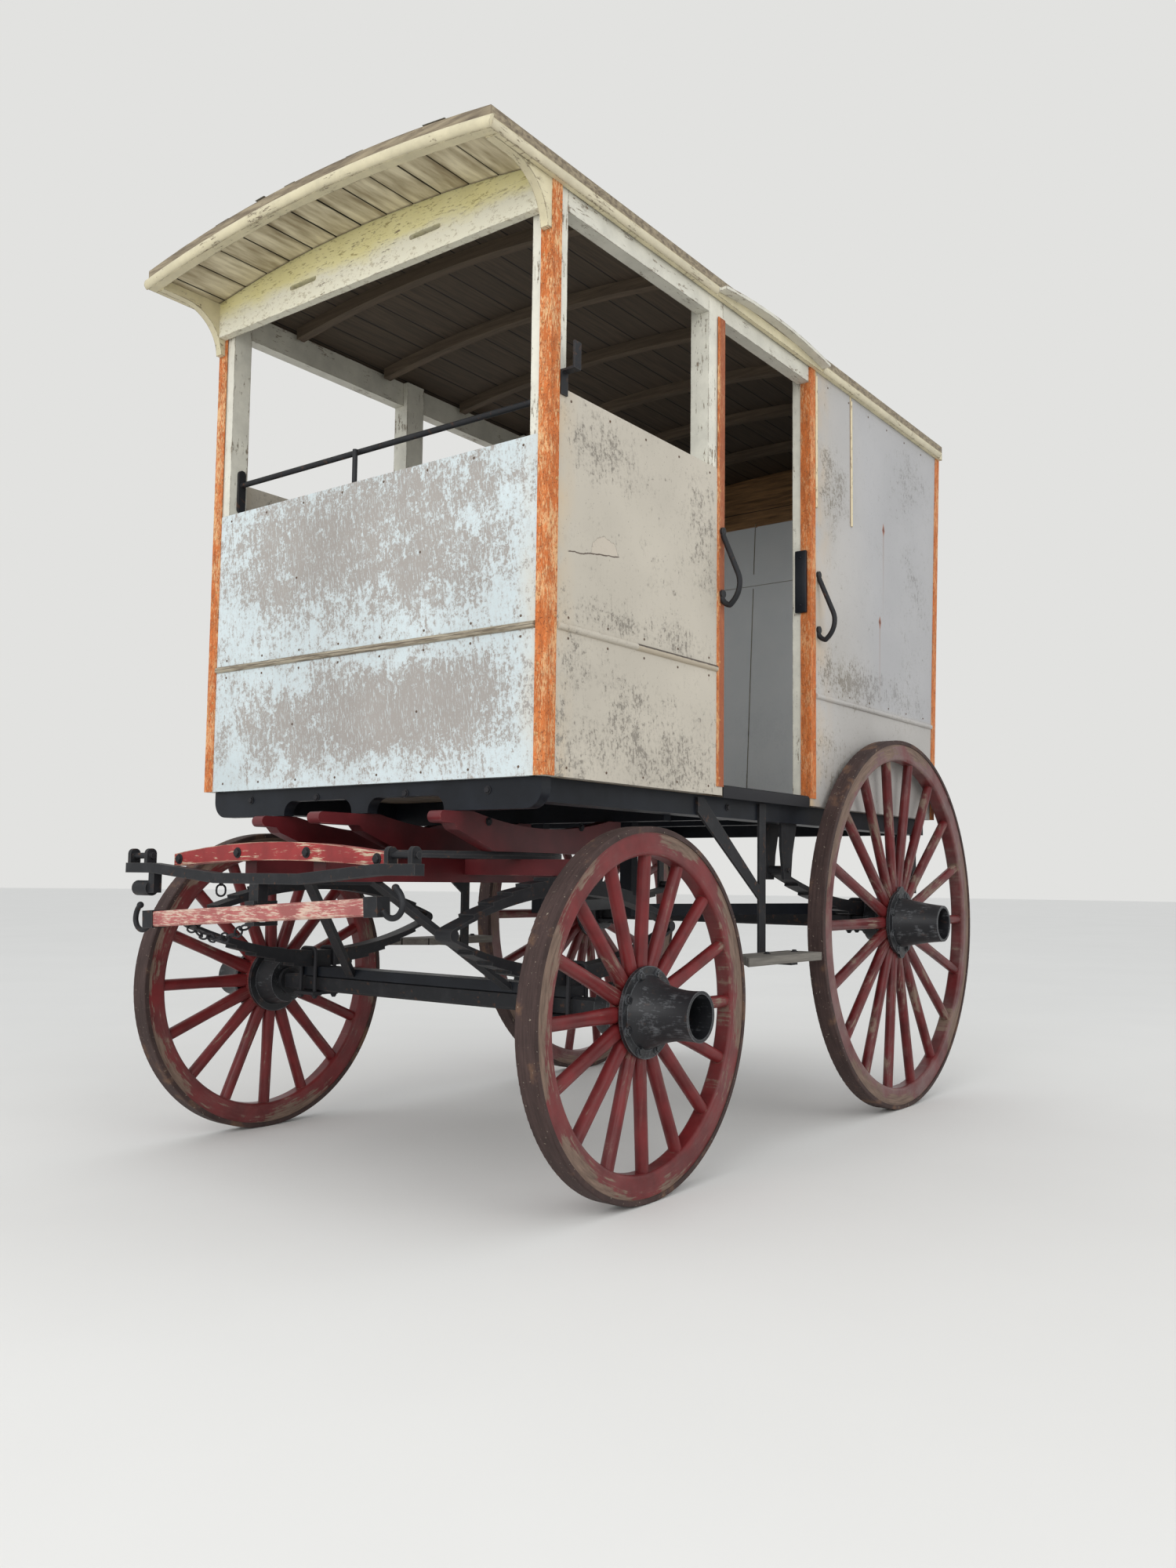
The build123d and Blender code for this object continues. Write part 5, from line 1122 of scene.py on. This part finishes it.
def half_round(place, out, radius, bulge, sweep):
    """Moulding swept from its end profile, flat at the back and bulging to the side that out names."""
    turn = (math.pi / 2, 0.0, 0.0) if out[0] else (0.0, math.pi / 2, 0.0)
    bar = started(
        bpy.ops.mesh.primitive_circle_add,
        vertices=24, radius=radius, fill_type="NGON", location=place, rotation=turn,
    )
    bpy.ops.object.transform_apply(location=True, rotation=True, scale=False)
    faces(
        bar,
        everywhere,
        lambda: bpy.ops.mesh.bisect(plane_co=place, plane_no=out, clear_inner=True),
        shrunk(tuple(bulge / radius if part else 1.0 for part in out), place),
        sweep,
        tidy_mesh,
    )
    bevel_all(bar, 0.0012)
    return bar


class WAGON_OT_roof_mouldings(bpy.types.Operator):
    """Rounded mouldings along the front and side edges of the roof."""

    bl_idname = "wagon.roof_mouldings"
    bl_label = "Roof mouldings"

    def execute(self, context):
        half_width = ROOF_SIDE + 0.006
        start = (ROOF_FRONT - 0.001, -half_width, EAVE_Z + 0.0155 - ROOF_CAMBER * 0.010)
        radius = 1 / (2 * ROOF_CAMBER)
        spread = 2 * math.asin(half_width / radius)
        centre = (start[0], 0.0, start[2] - radius * math.cos(spread / 2))
        nosing = half_round(start, (1, 0, 0), 0.0150, 0.0120, swung(28, spread, centre))
        fitted([nosing], "roof_nosing", "wagon", "nosing_paint")
        runs = ((ROOF_FRONT + 0.002, DOOR_FRONT + 0.062), (DOOR_BACK - 0.062, ROOF_BACK + 0.030))
        bars = []
        for _, sign in SIDES:
            for front, back in runs:
                place = (front, sign * (ROOF_SIDE - 0.001), EAVE_Z + 0.0125)
                bars.append(half_round(place, (0, sign, 0), 0.0120, 0.0085, drawn_out(back - front, 0, 0)))
        fitted(bars, "roof_side_mouldings", "wagon", "moulding_paint")
        return {"FINISHED"}


class WAGON_OT_overhang_boards(bpy.types.Operator):
    """Separate boards under the roof's front overhang, from the header to the front edging."""

    bl_idname = "wagon.overhang_boards"
    bl_label = "Overhang boards"

    def execute(self, context):
        rng = random.Random(23)
        strips = [((index + 0.5) * BOARD_PITCH, BOARD_PITCH - 0.003) for index in range(-6, 6)]
        strips += [(sign * 0.6035, 0.0235) for _, sign in SIDES]
        boards = []
        for middle, width in strips:
            board = squared((BOARD_LENGTH, width, 0.006), (0, 0, 0), 0.0015)
            lap = math.radians(rng.uniform(-0.8, 0.8))
            drop = rng.uniform(0.0018, 0.0026)
            under = DECK_UNDER - DECK_CAMBER * middle * middle - drop
            place = Matrix.Translation((BOARD_MIDDLE, middle, under))
            slope = Matrix.Rotation(math.atan(-2 * DECK_CAMBER * middle) + lap, 4, "X")
            boards += copies(board, [place @ slope])
        fitted(boards, "overhang_boards", "wagon", "roof_boards")
        return {"FINISHED"}


class WAGON_OT_roof_flaps(bpy.types.Operator):
    """Torn tongues of the roof cloth, curled up along the front edge."""

    bl_idname = "wagon.roof_flaps"
    bl_label = "Roof flaps"

    def execute(self, context):
        rng = random.Random(11)
        tongues = []
        for middle, length, depth, lift in FLAPS:
            tongue = started(bpy.ops.mesh.primitive_grid_add, x_subdivisions=5, y_subdivisions=12, size=1.0)
            tongue.scale = (depth, length, 1.0)
            bpy.ops.object.transform_apply(location=False, rotation=False, scale=True)
            ragged = [length * rng.uniform(0.38, 0.50) * (1 - 0.17 * row) for row in range(6)]
            faces(
                tongue,
                lambda centre, normal: abs(centre.y) > ragged[int((centre.x / depth + 0.5) * 5)],
                lambda: bpy.ops.mesh.delete(type="FACE"),
            )
            for row in range(1, 5):
                from_x = depth * (row / 5 - 0.5)
                faces(tongue, lambda centre, normal: centre.x > from_x, moved(0, 0, lift * row / 10))
            top = ROOF_TOP - ROOF_CAMBER * middle * middle + FLAP_THICKNESS
            place = Matrix.Translation((ROOF_FRONT - 0.004 - depth / 2, middle, top))
            tongue.matrix_world = place @ Matrix.Rotation(math.atan(-2 * ROOF_CAMBER * middle), 4, "X")
            tongues.append(tongue)
        cloth = joined(tongues)
        thick = cloth.modifiers.new("Thickness", "SOLIDIFY")
        thick.thickness = FLAP_THICKNESS
        bpy.ops.object.modifier_apply(modifier=thick.name)
        fitted([cloth], "roof_flaps", "wagon", "roof_cloth", 60.0)
        return {"FINISHED"}


class WAGON_OT_stage(bpy.types.Operator):
    """Pale floor, even light and the camera."""

    bl_idname = "wagon.stage"
    bl_label = "Stage"

    def execute(self, context):
        scene = context.scene
        floor = started(bpy.ops.mesh.primitive_circle_add, vertices=96, radius=60.0, fill_type="NGON")
        floor.name = "stage_floor"
        ground = Finish("stage_floor", roughness=0.9)
        tone = ground.mix(ground.cloud(0.8, 3), paint(224, 222, 218), paint(230, 228, 224))
        floor.data.materials.append(ground.close(tone))
        scene.world = bpy.data.worlds.new("stage_world")
        sky = Nodes(scene.world)
        rays = sky.node("ShaderNodeLightPath").socket.node.outputs
        seen = Value(sky, rays["Is Camera Ray"])
        for name in ("Is Glossy Ray", "Is Transmission Ray"):
            seen = sky.math("MAXIMUM", seen, Value(sky, rays[name]))
        backdrop = sky.node("ShaderNodeBackground", {"Color": opaque(paint(226, 226, 224))})
        glow = sky.node("ShaderNodeBackground", {"Color": (0.94, 0.97, 1.0, 1.0), "Strength": 0.88})
        sky.node("ShaderNodeOutputWorld", [sky.node("ShaderNodeMixShader", [seen, glow, backdrop])])
        target = Vector((0.0, 0.0, 1.2))
        lamps = (("key", (9.0, 1.6, 4.2), 6.0, 128.0), ("side", (3.0, 9.2, 5.4), 6.5, 90.0))
        for name, place, size, power in lamps:
            lamp = bpy.data.lights.new(name, "AREA")
            lamp.energy = power
            lamp.size = size
            lamp.spread = math.radians(105)
            holder = bpy.data.objects.new(name, lamp)
            scene.collection.objects.link(holder)
            holder.location = place
            holder.rotation_euler = (target - Vector(place)).to_track_quat("-Z", "Y").to_euler()
        yaw, pitch, roll = (math.radians(angle) for angle in (217.07, 4.36, 0.69))
        ahead = Vector((math.cos(yaw) * math.cos(pitch), math.sin(yaw) * math.cos(pitch), math.sin(pitch)))
        level = ahead.cross(Vector((0, 0, 1))).normalized()
        upright = level.cross(ahead)
        right = math.cos(roll) * level + math.sin(roll) * upright
        up = -math.sin(roll) * level + math.cos(roll) * upright
        view = bpy.data.cameras.new("photo_camera")
        view.sensor_fit = "VERTICAL"
        view.sensor_height = 36.0
        view.lens = 28.352
        view.clip_end = 200.0
        camera = bpy.data.objects.new("photo_camera", view)
        scene.collection.objects.link(camera)
        turn = Matrix((right, up, -ahead)).transposed().to_4x4()
        camera.matrix_world = Matrix.Translation((3.3206, 2.4351, 0.7755)) @ turn
        scene.camera = camera
        scene.view_settings.view_transform = "Standard"
        return {"FINISHED"}


OPERATORS = (
    WAGON_OT_wheel_finishes,
    WAGON_OT_gear_finishes,
    WAGON_OT_body_finishes,
    WAGON_OT_roof_finishes,
    WAGON_OT_hub_bolts,
    WAGON_OT_iron_screws,
    WAGON_OT_panel_nails,
    WAGON_OT_chains,
    WAGON_OT_spring_clips,
    WAGON_OT_doorway_treads,
    WAGON_OT_jamb_strips,
    WAGON_OT_gear_bolts,
    WAGON_OT_roof_mouldings,
    WAGON_OT_overhang_boards,
    WAGON_OT_roof_flaps,
    WAGON_OT_stage,
)


class WAGON_PT_sidebar(bpy.types.Panel):
    """The wagon's steps, colours and sizes."""

    bl_idname = "WAGON_PT_sidebar"
    bl_label = "Delivery wagon"
    bl_space_type = "VIEW_3D"
    bl_region_type = "UI"
    bl_category = "Wagon"

    def draw(self, context):
        for operator in OPERATORS:
            self.layout.operator(operator.bl_idname)
        for group in (context.scene.wagon_colours, context.scene.wagon_sizes):
            box = self.layout.box()
            for name in type(group).__annotations__:
                box.prop(group, name)


CLASSES = (WagonColours, WagonSizes, *OPERATORS, WAGON_PT_sidebar)


def register():
    for cls in CLASSES:
        bpy.utils.register_class(cls)
    bpy.types.Scene.wagon_colours = bpy.props.PointerProperty(type=WagonColours)
    bpy.types.Scene.wagon_sizes = bpy.props.PointerProperty(type=WagonSizes)


def unregister():
    del bpy.types.Scene.wagon_sizes
    del bpy.types.Scene.wagon_colours
    for cls in reversed(CLASSES):
        bpy.utils.unregister_class(cls)


def main():
    register()
    for operator in OPERATORS:
        group, name = operator.bl_idname.split(".")
        getattr(getattr(bpy.ops, group), name)()


if __name__ == "__main__":
    main()
